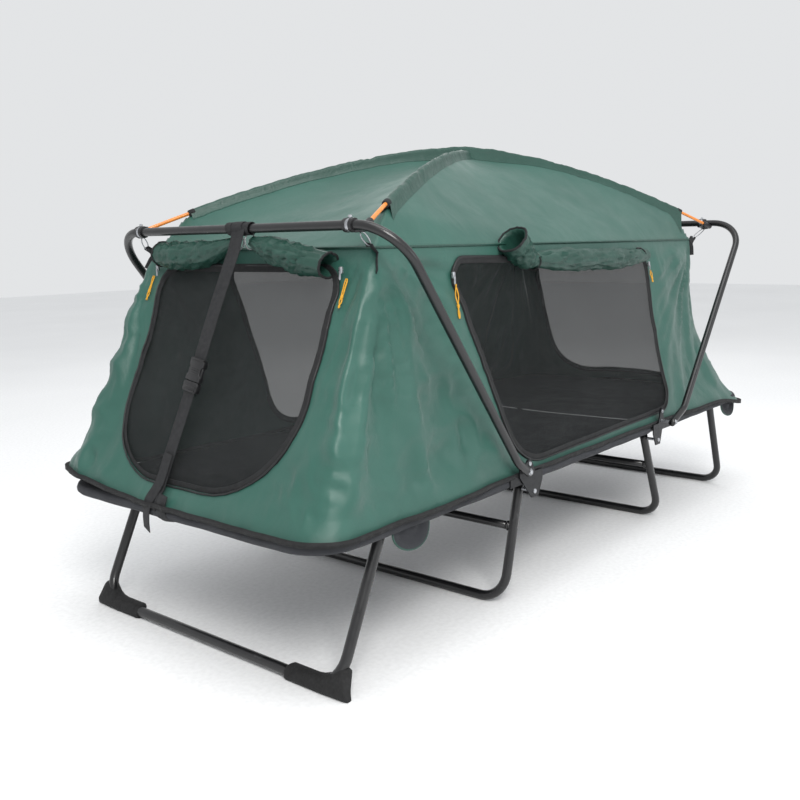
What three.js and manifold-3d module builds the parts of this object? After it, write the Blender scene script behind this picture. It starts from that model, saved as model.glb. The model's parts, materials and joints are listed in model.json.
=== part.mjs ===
// Folding tent cot: a raised steel bed frame in three hinged sections under a fabric canopy.
// Millimetres, +Z up. X runs along the bed with the foot (door) end at -X, and Y runs across it.
// The origin is the centre of the footprint, on the floor.
import * as THREE from 'three';
import { mergeVertices } from 'three/addons/utils/BufferGeometryUtils.js';
import Module from 'manifold-3d';

const wasm = await Module();
wasm.setup();

// ---- driving dimensions ----
const GAP = 0.4; // clearance between touching pieces
const TUBE_R = 11; // rails and legs
const BOW_R = 9.5;
const POLE_R = 4.25;
const RAIL_Z = 300; // centre of the side rails above the floor
const RAIL_Y = 400;
const LEG_Y = 374; // the legs nest between the rails
const SECTION_END_X = 1014;
const RAIL_CORNER_R = 85;
const HINGE_X = 355; // the end sections fold about these lines
const FOOT_FOLD_Z = 333;
const HEAD_FOLD_Z = 344;
const RAIL_STOP = 7; // each rail end stops this far from the hinge line

const DECK_BOTTOM_Z = 303;
const DECK_T = 4;
const DECK_HALF_WIDTH = 384;

const CANOPY = {
  top: { foot: 785, head: 750, y: 340, z: 820 }, // where the walls meet the roof
  hem: { x: 1008, y: 404, z: 318 }, // where the walls meet the bed
  wallT: 4,
  roofEdgeZ: 826,
  roofRise: 224,
  roofPower: 1.6,
};

const ENDS = {
  foot: {
    sign: -1,
    foldZ: FOOT_FOLD_Z,
    bow: { pivot: [385, 323], knee: [424, 349], top: [828, 864], y: 430 },
    endLeg: { top: [823, 286], floor: [952, 14.6] },
    midLeg: { top: [334, 265], floor: [398, TUBE_R] },
  },
  head: {
    sign: 1,
    foldZ: HEAD_FOLD_Z,
    bow: { pivot: [350, 318], knee: [424, 347], top: [836, 872], y: 452 },
    endLeg: { top: [823, 286], floor: [936, TUBE_R] },
    midLeg: { top: [334, 265], floor: [450, TUBE_R] },
  },
};
const SIDES = { near: -1, far: 1 };
const BOW_CORNER_R = 95;
const LEG_CORNER_R = 62;
const CROSSBAR_Z = 178;
const CROSSBAR_R = 9.5;
const KNEE_R = 30; // the bend low in each bow arm
const TUBE_PAST_PIN = 9; // how far a hinged tube runs on past its pin

const LINK_Y = [411.4, 414.4]; // link plate of an end section
const PLATE_Y = [414.8, 417.8]; // bracket plate of the centre section
const HOLE_R = 4.4;
const BOLT_R = 4;
const BOLT_HEAD_R = 7;
const HOLE_PAST = 20; // a hole's cutter runs on this far past the tube

const POLE = { x: 808, y: 348, z: 866, rise: [196, 207], power: 1.6 };
const SOCKET = { y: 322, ringR: 14, ringHalf: 10, cupR: 7, cupLength: 10 }; // joins a pole tip to a bow
const STRAP = { top: [-838, -24, 848], bottom: [-1013, 58, 338], width: 38, t: 2 };
const BUCKLE = {
  start: 262, housing: 46, tongue: 17, insert: 24, width: 46, t: 13,
  skinX: 3, skinZ: 2.5, slack: 1, // the housing's skin round its pocket, and the tongue's slack in it
};
const ZIP_PULL = { y: 300, z: 738, r: 3, length: 58, standOff: 7 };

// ---- materials ----
const finish = (color, roughness, metalness = 0) =>
  new THREE.MeshStandardMaterial({ color, roughness, metalness });
const MATERIALS = {
  steel: () => finish(0x17181a, 0.35, 0.6),
  zinc: () => finish(0xb9bcc0, 0.3, 0.9),
  plate: () => finish(0x2a2b2e, 0.45, 0.7),
  nylon: () => finish(0x5b8f86, 0.7),
  mesh: () => finish(0x2b2d2e, 0.9),
  deck: () => finish(0x3a3c42, 0.85),
  webbing: () => finish(0x222326, 0.85),
  plastic: () => finish(0x151617, 0.4),
  fibreglass: () => finish(0xd9913c, 0.4),
  rubber: () => finish(0x121212, 0.8),
  cord: () => finish(0xe2a63a, 0.7),
};

const cot = new THREE.Group();
cot.name = 'folding_tent_cot';

function add(name, geometry, material) {
  const mesh = new THREE.Mesh(geometry, MATERIALS[material]());
  mesh.name = name;
  cot.add(mesh);
  return mesh;
}

// ---- geometry helpers ----
/** A curve through given points, sampled exactly at them, for sweeping a tube. */
class Route extends THREE.Curve {
  constructor(points) {
    super();
    this.points = points;
  }
  getPoint(t) {
    const place = t * (this.points.length - 1);
    const i = Math.min(Math.floor(place + 1e-9), this.points.length - 2);
    return this.points[i].clone().lerp(this.points[i + 1], place - i);
  }
  getPointAt(u) {
    return this.getPoint(u);
  }
  getTangentAt(u) {
    const last = this.points.length - 1;
    const i = Math.round(u * last);
    const before = this.points[Math.max(i - 1, 0)];
    const here = this.points[i];
    const after = this.points[Math.min(i + 1, last)];
    const inward = here.clone().sub(before).normalize();
    const outward = after.clone().sub(here).normalize();
    return inward.add(outward).normalize();
  }
}

/** The points of a polyline with its corners rounded to a radius. */
function rounded(corners, radius, steps = 5) {
  const points = [corners[0].clone()];
  for (let i = 1; i < corners.length - 1; i++) {
    const toBefore = corners[i - 1].clone().sub(corners[i]).normalize();
    const toAfter = corners[i + 1].clone().sub(corners[i]).normalize();
    const half = toBefore.angleTo(toAfter) / 2;
    const r = Array.isArray(radius) ? radius[i - 1] : radius;
    const centre = toBefore.clone().add(toAfter).normalize();
    centre.multiplyScalar(r / Math.sin(half)).add(corners[i]);
    const start = toBefore.multiplyScalar(r / Math.tan(half)).add(corners[i]).sub(centre);
    const end = toAfter.multiplyScalar(r / Math.tan(half)).add(corners[i]).sub(centre);
    const axis = start.clone().cross(end).normalize();
    const turn = start.angleTo(end);
    for (let k = 0; k <= steps; k++) {
      points.push(start.clone().applyAxisAngle(axis, (turn * k) / steps).add(centre));
    }
  }
  points.push(corners[corners.length - 1].clone());
  return points;
}

function tube(points, radius, sides = 12) {
  const section = new THREE.Shape();
  section.absarc(0, 0, radius, 0, 2 * Math.PI);
  return new THREE.ExtrudeGeometry(section, {
    steps: points.length - 1,
    curveSegments: sides / 2, // a full circle is drawn with twice this many
    extrudePath: new Route(points),
  });
}

/** A cylinder from y = a to y = b at (x, z). */
function crossPin(x, z, radius, a, b, sides = 10) {
  const pin = new THREE.CylinderGeometry(radius, radius, Math.abs(b - a), sides);
  pin.translate(x, (a + b) / 2, z);
  return pin;
}

/** Extrudes a shape drawn in X and Z between two Y values. */
function plateXZ(shape, y0, y1, curveSegments = 5) {
  const depth = Math.abs(y1 - y0);
  const plate = new THREE.ExtrudeGeometry(shape, { depth, bevelEnabled: false, curveSegments });
  plate.rotateX(Math.PI / 2); // shape's y becomes z, and the depth runs along -Y
  plate.translate(0, Math.max(y0, y1), 0);
  return plate;
}

function toSolid(geometry) {
  const bare = geometry.clone();
  bare.deleteAttribute('normal');
  bare.deleteAttribute('uv');
  const merged = mergeVertices(bare, 1e-4);
  return new wasm.Manifold(new wasm.Mesh({
    numProp: 3,
    vertProperties: merged.attributes.position.array,
    triVerts: Uint32Array.from(merged.index.array),
  }));
}

function fromSolid(solid) {
  const { vertProperties, triVerts } = solid.getMesh();
  const geometry = new THREE.BufferGeometry();
  geometry.setAttribute('position', new THREE.BufferAttribute(new Float32Array(vertProperties), 3));
  geometry.setIndex(new THREE.BufferAttribute(new Uint32Array(triVerts), 1));
  geometry.computeVertexNormals();
  return geometry;
}

const cut = (geometry, ...tools) =>
  fromSolid(tools.reduce((solid, tool) => solid.subtract(toSolid(tool)), toSolid(geometry)));
const join = (...geometries) =>
  fromSolid(geometries.map(toSolid).reduce((whole, piece) => whole.add(piece)));
const vec = (x, y, z) => new THREE.Vector3(x, y, z);

// ---- steel bed frame ----
function centreRails() {
  for (const [side, sy] of Object.entries(SIDES)) {
    const reach = HINGE_X - RAIL_STOP;
    const y = sy * RAIL_Y;
    add(`center_rail_${side}`, tube([vec(-reach, y, RAIL_Z), vec(reach, y, RAIL_Z)], TUBE_R), 'steel');
  }
}

function sectionRail(end, { sign }) {
  const start = sign * (HINGE_X + RAIL_STOP);
  const tip = sign * SECTION_END_X;
  const corners = [
    vec(start, -RAIL_Y, RAIL_Z),
    vec(tip, -RAIL_Y, RAIL_Z),
    vec(tip, RAIL_Y, RAIL_Z),
    vec(start, RAIL_Y, RAIL_Z),
  ];
  add(`${end}_section_rail`, tube(rounded(corners, RAIL_CORNER_R), TUBE_R), 'steel');
}

/** A U-shaped leg, hung from two cross holes near its top ends. */
function leg(name, sign, { top, floor }, withCrossbar) {
  const dx = floor[0] - top[0];
  const dz = floor[1] - top[1];
  const length = Math.hypot(dx, dz);
  const past = TUBE_PAST_PIN / length;
  const head = [top[0] - dx * past, top[1] - dz * past];
  const corners = [
    vec(sign * head[0], -LEG_Y, head[1]),
    vec(sign * floor[0], -LEG_Y, floor[1]),
    vec(sign * floor[0], LEG_Y, floor[1]),
    vec(sign * head[0], LEG_Y, head[1]),
  ];
  const frame = tube(rounded(corners, LEG_CORNER_R), TUBE_R);
  const hole = crossPin(sign * top[0], top[1], HOLE_R, -LEG_Y - HOLE_PAST, LEG_Y + HOLE_PAST);
  if (!withCrossbar) {
    add(name, cut(frame, hole), 'steel');
    return;
  }
  const along = (CROSSBAR_Z - top[1]) / dz;
  const barX = sign * (top[0] + dx * along);
  const bar = tube([vec(barX, -LEG_Y, CROSSBAR_Z), vec(barX, LEG_Y, CROSSBAR_Z)], CROSSBAR_R);
  add(name, cut(join(frame, bar), hole), 'steel');
}

/** The line of a bow's tube, from one bow pivot over the bed to the other. */
function bowLine({ sign, bow: b }) {
  const at = ([x, z], y) => vec(sign * x, y, z);
  const corners = [
    at(b.pivot, -b.y), at(b.knee, -b.y), at(b.top, -b.y),
    at(b.top, b.y), at(b.knee, b.y), at(b.pivot, b.y),
  ];
  const lead = corners[0].clone().sub(corners[1]).setLength(TUBE_PAST_PIN);
  corners[0].add(lead);
  corners[5].add(lead);
  return rounded(corners, [KNEE_R, BOW_CORNER_R, BOW_CORNER_R, KNEE_R]);
}

/** The canopy's end bow: a U of tube whose arms kneel to the bracket's bow pivot. */
function bow(end, data) {
  const { pivot, y } = data.bow;
  const hole = crossPin(data.sign * pivot[0], pivot[1], HOLE_R, -y - HOLE_PAST, y + HOLE_PAST);
  add(`${end}_bow`, cut(tube(bowLine(data), BOW_R), hole), 'steel');
}

// ---- hinge brackets ----
const outline = (points, sign) => new THREE.Shape(points.map(([x, z]) => new THREE.Vector2(sign * x, z)));

function bracketPlate(end, side, sy, { sign, foldZ, bow: b, midLeg }) {
  const shape = outline([
    [300, 288], [318, 252], [346, 252], [b.pivot[0] + 12, b.pivot[1] - 14],
    [b.pivot[0] + 12, b.pivot[1] + 6], [HINGE_X + 10, foldZ + 6], [HINGE_X + 4, foldZ + 10],
    [HINGE_X - 4, foldZ + 10], [HINGE_X - 12, foldZ - 2], [334, 312], [300, 312],
  ], sign);
  for (const [x, z] of [[HINGE_X, foldZ], b.pivot, midLeg.top]) {
    const hole = new THREE.Path();
    hole.absarc(sign * x, z, HOLE_R, 0, 2 * Math.PI, sign > 0);
    shape.holes.push(hole);
  }
  add(`bracket_plate_${end}_${side}`, plateXZ(shape, sy * PLATE_Y[0], sy * PLATE_Y[1]), 'plate');
}

function linkPlate(end, side, sy, { sign, foldZ }) {
  const shape = outline([
    [HINGE_X + 9, foldZ + 4], [HINGE_X + 4, foldZ + 9], [HINGE_X - 4, foldZ + 9], [HINGE_X - 9, foldZ + 4],
    [HINGE_X - 9, foldZ - 4], [HINGE_X + 8, RAIL_Z - 10], [430, RAIL_Z - 10], [430, RAIL_Z + 9],
    [HINGE_X + 26, RAIL_Z + 9],
  ], sign);
  const hole = new THREE.Path();
  hole.absarc(sign * HINGE_X, foldZ, HOLE_R, 0, 2 * Math.PI, sign > 0);
  shape.holes.push(hole);
  add(`section_link_${end}_${side}`, plateXZ(shape, sy * LINK_Y[0], sy * LINK_Y[1]), 'plate');
}

/** A headed pin whose shank runs across Y from its head's inner face. */
function headedPin(x, z, sy, shankFrom, headFrom, headTo) {
  return join(
    crossPin(x, z, BOLT_R, sy * shankFrom, sy * (headFrom + 1)),
    crossPin(x, z, BOLT_HEAD_R, sy * headFrom, sy * headTo),
  );
}

function pins(end, side, sy, { sign, foldZ, bow: b, midLeg, endLeg }) {
  const head = PLATE_Y[1] + GAP;
  const fold = headedPin(sign * HINGE_X, foldZ, sy, LINK_Y[0] - GAP, head, head + 1.8);
  add(`fold_pin_${end}_${side}`, fold, 'zinc');
  const legPin = headedPin(sign * midLeg.top[0], midLeg.top[1], sy, LEG_Y - TUBE_R, head, head + 2.6);
  const legBush = crossPin(
    sign * midLeg.top[0], midLeg.top[1], 8, sy * (LEG_Y + TUBE_R + GAP), sy * (PLATE_Y[0] - GAP));
  add(`mid_leg_pin_${end}_${side}`, join(legPin, legBush), 'zinc');
  const bush = crossPin(
    sign * b.pivot[0], b.pivot[1], 7.5, sy * head, sy * (b.y - BOW_R - GAP));
  const shank = crossPin(
    sign * b.pivot[0], b.pivot[1], BOLT_R, sy * (LINK_Y[1] + GAP), sy * (b.y + BOW_R + 2));
  const cap = crossPin(
    sign * b.pivot[0], b.pivot[1], BOLT_HEAD_R, sy * (b.y + BOW_R + GAP), sy * (b.y + BOW_R + 3));
  add(`bow_pin_${end}_${side}`, join(bush, shank, cap), 'zinc');
  const stud = join(
    crossPin(sign * endLeg.top[0], endLeg.top[1], BOLT_R, sy * (LEG_Y - TUBE_R), sy * (LEG_Y + 14)),
    crossPin(sign * endLeg.top[0], endLeg.top[1], 9, sy * (LEG_Y + TUBE_R + GAP), sy * (LEG_Y + 14.6)),
  );
  add(`end_leg_pin_${end}_${side}`, stud, 'zinc');
}

/** Rubber sleeve on the floor bar of the foot-end leg. */
function rubberFoot(side, sy) {
  const [x, z] = ENDS.foot.endLeg.floor;
  const half = 30;
  const wall = new THREE.LatheGeometry([
    new THREE.Vector2(TUBE_R + GAP, -half), new THREE.Vector2(z, -half),
    new THREE.Vector2(z, half), new THREE.Vector2(TUBE_R + GAP, half),
    new THREE.Vector2(TUBE_R + GAP, -half),
  ], 20);
  wall.translate(-x, sy * (LEG_Y - LEG_CORNER_R - half - 2), z);
  add(`rubber_foot_${side}`, wall, 'rubber');
}

// ---- canopy poles and their sockets ----
function polePoint(s, slant, rise) {
  return vec(s * POLE.x, s * slant * POLE.y, POLE.z + rise * (1 - Math.abs(s) ** POLE.power));
}

function poles() {
  const steps = 20;
  for (const [name, slant, rise] of [['a', 1, POLE.rise[0]], ['b', -1, POLE.rise[1]]]) {
    const points = [];
    for (let i = 0; i <= steps; i++) {
      points.push(polePoint((2 * i) / steps - 1, slant, rise));
    }
    add(`canopy_pole_${name}`, tube(points, POLE_R, 8), 'fibreglass');
  }
}

/** A clamp ring on the bow's bar, with a cup that holds a pole's tip. */
function poleSocket(end, side, sy, data) {
  const { sign } = data;
  const [barX, barZ] = data.bow.top;
  const { ringR, ringHalf, cupR, cupLength } = SOCKET;
  const ring = new THREE.CylinderGeometry(ringR, ringR, 2 * ringHalf, 16);
  ring.translate(sign * barX, sy * SOCKET.y, barZ);
  const tip = vec(sign * POLE.x, sy * POLE.y, POLE.z);
  const armFrom = POLE.x + 3;
  const armTo = barX - BOW_R;
  const arm = new THREE.BoxGeometry(armTo - armFrom, POLE.y - SOCKET.y + cupR + ringHalf, ringHalf);
  arm.translate(sign * (armFrom + armTo) / 2, sy * (POLE.y + SOCKET.y) / 2, (POLE.z + barZ) / 2);
  const inner = polePoint(0.97, 1, POLE.rise[0]).sub(vec(POLE.x, POLE.y, POLE.z)).normalize();
  const way = vec(sign * inner.x, sy * inner.y, inner.z);
  const cup = new THREE.CylinderGeometry(cupR, cupR, cupLength, 12);
  cup.applyQuaternion(new THREE.Quaternion().setFromUnitVectors(vec(0, 1, 0), way));
  const clear = tip.clone().addScaledVector(way, -cupLength / 2 - GAP);
  cup.translate(clear.x, clear.y, clear.z);
  const room = tube(bowLine(data), BOW_R + GAP, 16);
  add(`pole_socket_${end}_${side}`, cut(join(ring, arm, cup), room), 'plastic');
}

// ---- bed deck ----
function deckPanel(name, x0, x1) {
  const panel = new THREE.BoxGeometry(Math.abs(x1 - x0), 2 * DECK_HALF_WIDTH, DECK_T);
  panel.translate((x0 + x1) / 2, 0, DECK_BOTTOM_Z + DECK_T / 2);
  add(name, panel, 'deck');
}

/** An end section's deck, rounded at its outer corners to stay inside the rail. */
function endDeck(end, { sign }) {
  const edgeGap = 3;
  const inner = HINGE_X + 12;
  const outer = SECTION_END_X - TUBE_R - edgeGap;
  const r = RAIL_CORNER_R - TUBE_R - edgeGap;
  const shape = new THREE.Shape();
  shape.moveTo(inner, -DECK_HALF_WIDTH);
  shape.lineTo(outer - r, -DECK_HALF_WIDTH);
  shape.absarc(outer - r, -DECK_HALF_WIDTH + r, r, -Math.PI / 2, 0);
  shape.lineTo(outer, DECK_HALF_WIDTH - r);
  shape.absarc(outer - r, DECK_HALF_WIDTH - r, r, 0, Math.PI / 2);
  shape.lineTo(inner, DECK_HALF_WIDTH);
  shape.closePath();
  const deck = new THREE.ExtrudeGeometry(shape, { depth: DECK_T, bevelEnabled: false, curveSegments: 6 });
  if (sign < 0) deck.rotateZ(Math.PI);
  deck.translate(0, 0, DECK_BOTTOM_Z);
  add(`${end}_deck`, deck, 'deck');
}

// ---- fabric canopy ----
/** The dome's height where u and v run from -1 to 1 across it. Each quarter is a single curve. */
function roofHeight(u, v) {
  const outer = Math.max(Math.abs(u), Math.abs(v));
  return CANOPY.roofEdgeZ + CANOPY.roofRise * (1 - outer ** CANOPY.roofPower);
}

function roof() {
  const { top, wallT } = CANOPY;
  const sheet = new THREE.BoxGeometry(2, 2, wallT, 16, 8, 1);
  const p = sheet.attributes.position;
  for (let i = 0; i < p.count; i++) {
    const u = p.getX(i);
    const v = p.getY(i);
    const below = p.getZ(i) < 0 ? wallT : 0;
    p.setXYZ(i, u * (u < 0 ? top.foot : top.head), v * top.y, roofHeight(u, v) - below);
  }
  add('roof_canopy', sheet, 'nylon');
}

/** A rounded four-sided outline through corners given in order. */
function roundedShape(corners, radius, Kind = THREE.Shape) {
  const points = corners.map(([x, y]) => vec(x, y, 0));
  const loop = [];
  const n = points.length;
  for (let i = 0; i < n; i++) {
    const arc = rounded([points[(i + n - 1) % n], points[i], points[(i + 1) % n]], radius, 5);
    loop.push(...arc.slice(1, -1));
  }
  return new Kind(loop.map((q) => new THREE.Vector2(q.x, q.y)));
}

/** Builds a canopy wall with its opening, and the mesh panel that fills the opening.
 * Both are drawn flat, along the wall and up its slope, then leaned against the frame. */
function wallAndScreen(wallName, screenName, { hemHalf, topLeft, topRight, slope, opening, radius, place }) {
  const outer = [[-hemHalf, 0], [hemHalf, 0], [topRight, slope], [-topLeft, slope]];
  const wall = new THREE.Shape(outer.map(([x, y]) => new THREE.Vector2(x, y)));
  wall.holes.push(roundedShape([...opening].reverse(), radius, THREE.Path));
  const flat = { depth: CANOPY.wallT, bevelEnabled: false, curveSegments: 6 };
  add(wallName, place(new THREE.ExtrudeGeometry(wall, flat)), 'nylon');
  const cx = opening.reduce((sum, q) => sum + q[0], 0) / opening.length;
  const cy = opening.reduce((sum, q) => sum + q[1], 0) / opening.length;
  const fit = 0.994; // the screen is this share of its opening
  const shrunk = opening.map(([x, y]) => [cx + (x - cx) * fit, cy + (y - cy) * fit]);
  const screenT = CANOPY.wallT / 2;
  const screen = new THREE.ExtrudeGeometry(roundedShape(shrunk, radius), { ...flat, depth: screenT });
  add(screenName, place(screen.translate(0, 0, screenT / 2)), 'mesh');
}

function sideWall(side, sy) {
  const { top, hem, wallT } = CANOPY;
  const drop = Math.hypot(hem.y - top.y, top.z - hem.z);
  const lean = Math.atan2(hem.y - top.y, top.z - hem.z);
  const corner = 6; // the side walls stop short of the end walls at the corners
  wallAndScreen(`side_wall_${side}`, `window_mesh_${side}`, {
    hemHalf: hem.x - corner,
    topLeft: top.foot - corner,
    topRight: top.head - corner,
    slope: drop,
    opening: [[-400, 20], [440, 20], [375, 440], [-550, 462]],
    radius: 60,
    place: (g) => {
      g.rotateX(Math.PI / 2 - lean);
      g.translate(0, -hem.y + wallT, hem.z);
      if (sy > 0) g.applyMatrix4(new THREE.Matrix4().makeScale(1, -1, 1));
      return sy > 0 ? flipWinding(g) : g;
    },
  });
}

function endWall(end, { sign }) {
  const { top, hem } = CANOPY;
  const drop = Math.hypot(hem.x - top[end], top.z - hem.z);
  const lean = Math.atan2(hem.x - top[end], top.z - hem.z);
  const inset = 8;
  wallAndScreen(`${end}_wall`, `${end}_door_mesh`, {
    hemHalf: hem.y - inset,
    topLeft: top.y - inset,
    topRight: top.y - inset,
    slope: drop,
    opening: [[-250, 40], [265, 40], [272, 478], [-272, 478]],
    radius: 110,
    place: (g) => {
      g.rotateX(Math.PI / 2);
      g.rotateZ((sign * Math.PI) / 2);
      g.rotateY(-sign * lean);
      g.translate(sign * (hem.x - CANOPY.wallT), 0, hem.z);
      return g;
    },
  });
}

function flipWinding(geometry) {
  const flipped = geometry.index ? geometry.toNonIndexed() : geometry;
  const p = flipped.attributes.position;
  for (let i = 0; i < p.count; i += 3) {
    const b = new THREE.Vector3().fromBufferAttribute(p, i + 1);
    const c = new THREE.Vector3().fromBufferAttribute(p, i + 2);
    p.setXYZ(i + 1, c.x, c.y, c.z);
    p.setXYZ(i + 2, b.x, b.y, b.z);
  }
  flipped.computeVertexNormals();
  return flipped;
}

// ---- tension strap and buckle over the door ----
function strap() {
  const top = vec(...STRAP.top);
  const bottom = vec(...STRAP.bottom);
  const length = top.distanceTo(bottom);
  const down = bottom.clone().sub(top).normalize();
  const across = vec(0, 1, 0).addScaledVector(down, -down.y).normalize();
  const out = across.clone().cross(down);
  const basis = new THREE.Matrix4().makeBasis(across, down, out).setPosition(top);
  const put = (geometry) => geometry.applyMatrix4(basis);
  const band = (from, to) => {
    const g = new THREE.BoxGeometry(STRAP.width, to - from, STRAP.t);
    return put(g.translate(0, (from + to) / 2, 0));
  };
  const housingEnd = BUCKLE.start + BUCKLE.housing;
  const insertEnd = housingEnd + GAP + BUCKLE.insert;
  add('strap_upper', band(0, BUCKLE.start - GAP), 'webbing');
  add('strap_lower', band(insertEnd + GAP, length), 'webbing');
  const { width, t, skinX, skinZ, slack } = BUCKLE;
  const shell = new THREE.BoxGeometry(width, BUCKLE.housing, t);
  shell.translate(0, BUCKLE.start + BUCKLE.housing / 2, 0);
  const pocket = new THREE.BoxGeometry(width - 2 * skinX, BUCKLE.tongue + 4, t - 2 * skinZ);
  pocket.translate(0, housingEnd - BUCKLE.tongue / 2, 0);
  add('buckle_housing', put(cut(shell, pocket)), 'plastic');
  const body = new THREE.BoxGeometry(width, BUCKLE.insert, t);
  body.translate(0, housingEnd + GAP + BUCKLE.insert / 2, 0);
  const tongue = new THREE.BoxGeometry(
    width - 2 * (skinX + slack), BUCKLE.tongue + 2, t - 2 * (skinZ + slack));
  tongue.translate(0, housingEnd - BUCKLE.tongue / 2 + 2, 0);
  add('buckle_insert', put(join(body, tongue)), 'plastic');
}

/** A zipper slider's cord pull, lying against the foot wall beside the door. */
function zipPull(side, sy) {
  const { top, hem } = CANOPY;
  const lean = Math.atan2(hem.x - top.foot, top.z - hem.z);
  const wallX = top.foot + Math.tan(lean) * (top.z - ZIP_PULL.z);
  const clear = ZIP_PULL.standOff / Math.cos(lean);
  const pull = new THREE.CapsuleGeometry(ZIP_PULL.r, ZIP_PULL.length, 3, 8);
  pull.rotateX(Math.PI / 2);
  pull.rotateY(lean);
  pull.translate(-(wallX + clear), sy * ZIP_PULL.y, ZIP_PULL.z);
  add(`zip_pull_${side}`, pull, 'cord');
}

// ---- assembly ----
centreRails();
deckPanel('center_deck', -HINGE_X + 6, HINGE_X - 6);
for (const [end, data] of Object.entries(ENDS)) {
  sectionRail(end, data);
  endDeck(end, data);
  leg(`${end}_end_leg`, data.sign, data.endLeg, false);
  leg(`${end}_mid_leg`, data.sign, data.midLeg, true);
  bow(end, data);
  endWall(end, data);
  for (const [side, sy] of Object.entries(SIDES)) {
    bracketPlate(end, side, sy, data);
    linkPlate(end, side, sy, data);
    pins(end, side, sy, data);
    poleSocket(end, side, sy, data);
  }
}
for (const [side, sy] of Object.entries(SIDES)) {
  rubberFoot(side, sy);
  sideWall(side, sy);
  zipPull(side, sy);
}
roof();
poles();
strap();

export default cot;
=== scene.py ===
"""Folding tent cot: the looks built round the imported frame. Metres, +Z up, the foot end at -X."""
import itertools
import json
import math

import bmesh
import bpy
import numpy as np
from mathutils import Matrix, Vector


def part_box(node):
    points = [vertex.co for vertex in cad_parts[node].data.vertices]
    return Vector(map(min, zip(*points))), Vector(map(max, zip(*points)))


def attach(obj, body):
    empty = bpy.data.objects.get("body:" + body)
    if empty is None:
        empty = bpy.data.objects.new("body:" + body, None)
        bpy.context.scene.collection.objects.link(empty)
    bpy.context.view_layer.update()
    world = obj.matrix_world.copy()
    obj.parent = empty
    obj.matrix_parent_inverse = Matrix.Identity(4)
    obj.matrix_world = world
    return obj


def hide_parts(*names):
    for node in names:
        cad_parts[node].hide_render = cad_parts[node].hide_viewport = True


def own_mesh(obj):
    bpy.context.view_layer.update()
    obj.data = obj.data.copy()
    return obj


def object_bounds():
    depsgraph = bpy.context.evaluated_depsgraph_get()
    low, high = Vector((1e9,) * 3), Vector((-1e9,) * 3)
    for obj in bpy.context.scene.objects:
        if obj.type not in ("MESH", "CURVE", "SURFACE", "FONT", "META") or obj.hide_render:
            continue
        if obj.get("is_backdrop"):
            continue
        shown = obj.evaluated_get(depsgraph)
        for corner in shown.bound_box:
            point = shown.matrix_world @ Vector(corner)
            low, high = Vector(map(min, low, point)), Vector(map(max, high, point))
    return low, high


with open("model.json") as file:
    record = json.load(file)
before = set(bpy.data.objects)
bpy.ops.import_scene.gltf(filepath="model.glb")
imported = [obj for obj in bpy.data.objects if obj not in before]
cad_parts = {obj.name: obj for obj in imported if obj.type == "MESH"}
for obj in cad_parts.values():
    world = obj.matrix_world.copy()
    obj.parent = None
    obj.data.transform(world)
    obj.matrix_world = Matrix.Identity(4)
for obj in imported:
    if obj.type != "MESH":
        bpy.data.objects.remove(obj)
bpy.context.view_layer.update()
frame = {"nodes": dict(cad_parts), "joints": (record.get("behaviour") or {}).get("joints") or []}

JOINTS = {j["name"]: j for j in frame["joints"]}

# ---- measures, from the frame where it holds them ----
TUBE_R = 0.011
BOW_R = 0.0095
POLE_R = 0.00425
RAIL_Y = 0.400
RAIL_Z = 0.300
LEG_Y = 0.374
HINGE_X = 0.355
RAIL_STOP = 0.007
SECTION_END_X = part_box("head_section_rail")[1].x - TUBE_R
RAIL_CORNER_R = 0.085
LEG_CORNER_R = 0.062
BOW_CORNER_R = 0.095
BOW_KNEE_R = 0.030
CROSSBAR_Z = 0.178
SOCKET_Y = 0.322
SIDES = {"near": -1, "far": 1}
ENDS = {
    "foot": {
        "sign": -1, "bow_y": 0.430, "knee": (0.424, 0.349),
        "leg_floor": (0.952, 0.0146), "mid_floor": (0.398, TUBE_R),
    },
    "head": {
        "sign": 1, "bow_y": 0.452, "knee": (0.424, 0.347),
        "leg_floor": (0.936, TUBE_R), "mid_floor": (0.450, TUBE_R),
    },
}
for end, data in ENDS.items():
    low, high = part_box(f"{end}_bow")
    outer_x = low.x if data["sign"] < 0 else high.x
    data["bow_top"] = (abs(outer_x) - BOW_R, high.z - BOW_R)
    for key, joint in (("bow_pivot", "bow"), ("leg_top", "end_leg"), ("mid_top", "mid_leg")):
        place = JOINTS[f"{end}_{joint}_fold"]["pos_m"]
        data[key] = (abs(place[0]), place[2])

TOP_FOOT = -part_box("roof_canopy")[0].x
TOP_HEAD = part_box("roof_canopy")[1].x
TOP_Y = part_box("roof_canopy")[1].y
TOP_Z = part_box("side_wall_near")[1].z
APEX_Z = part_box("roof_canopy")[1].z
HEM_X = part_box("head_wall")[1].x
HEM_Y = -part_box("side_wall_near")[0].y
HEM_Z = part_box("foot_wall")[0].z
WALL_DROP = TOP_Z - HEM_Z
SEAM_Z = TOP_Z + 0.002  # where the roof sheet turns down into the walls

POLE = {"x": 0.808, "y": 0.348, "z": 0.866, "rise": {"a": 0.196, "b": 0.207}, "power": 1.6}
SLEEVE_END = 0.87  # the share of a pole's half that its sleeve covers
STRAP_TOP = Vector((-0.838, -0.024, 0.848))
STRAP_BOTTOM = Vector((-1.013, 0.058, 0.338))
STRAP_W = 0.038
BUCKLE_START = 0.262


# ---- numbers and noise ----
def smooth(x, low=0.0, high=1.0):
    t = np.clip((x - low) / (high - low), 0, 1)
    return t * t * (3 - 2 * t)


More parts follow.
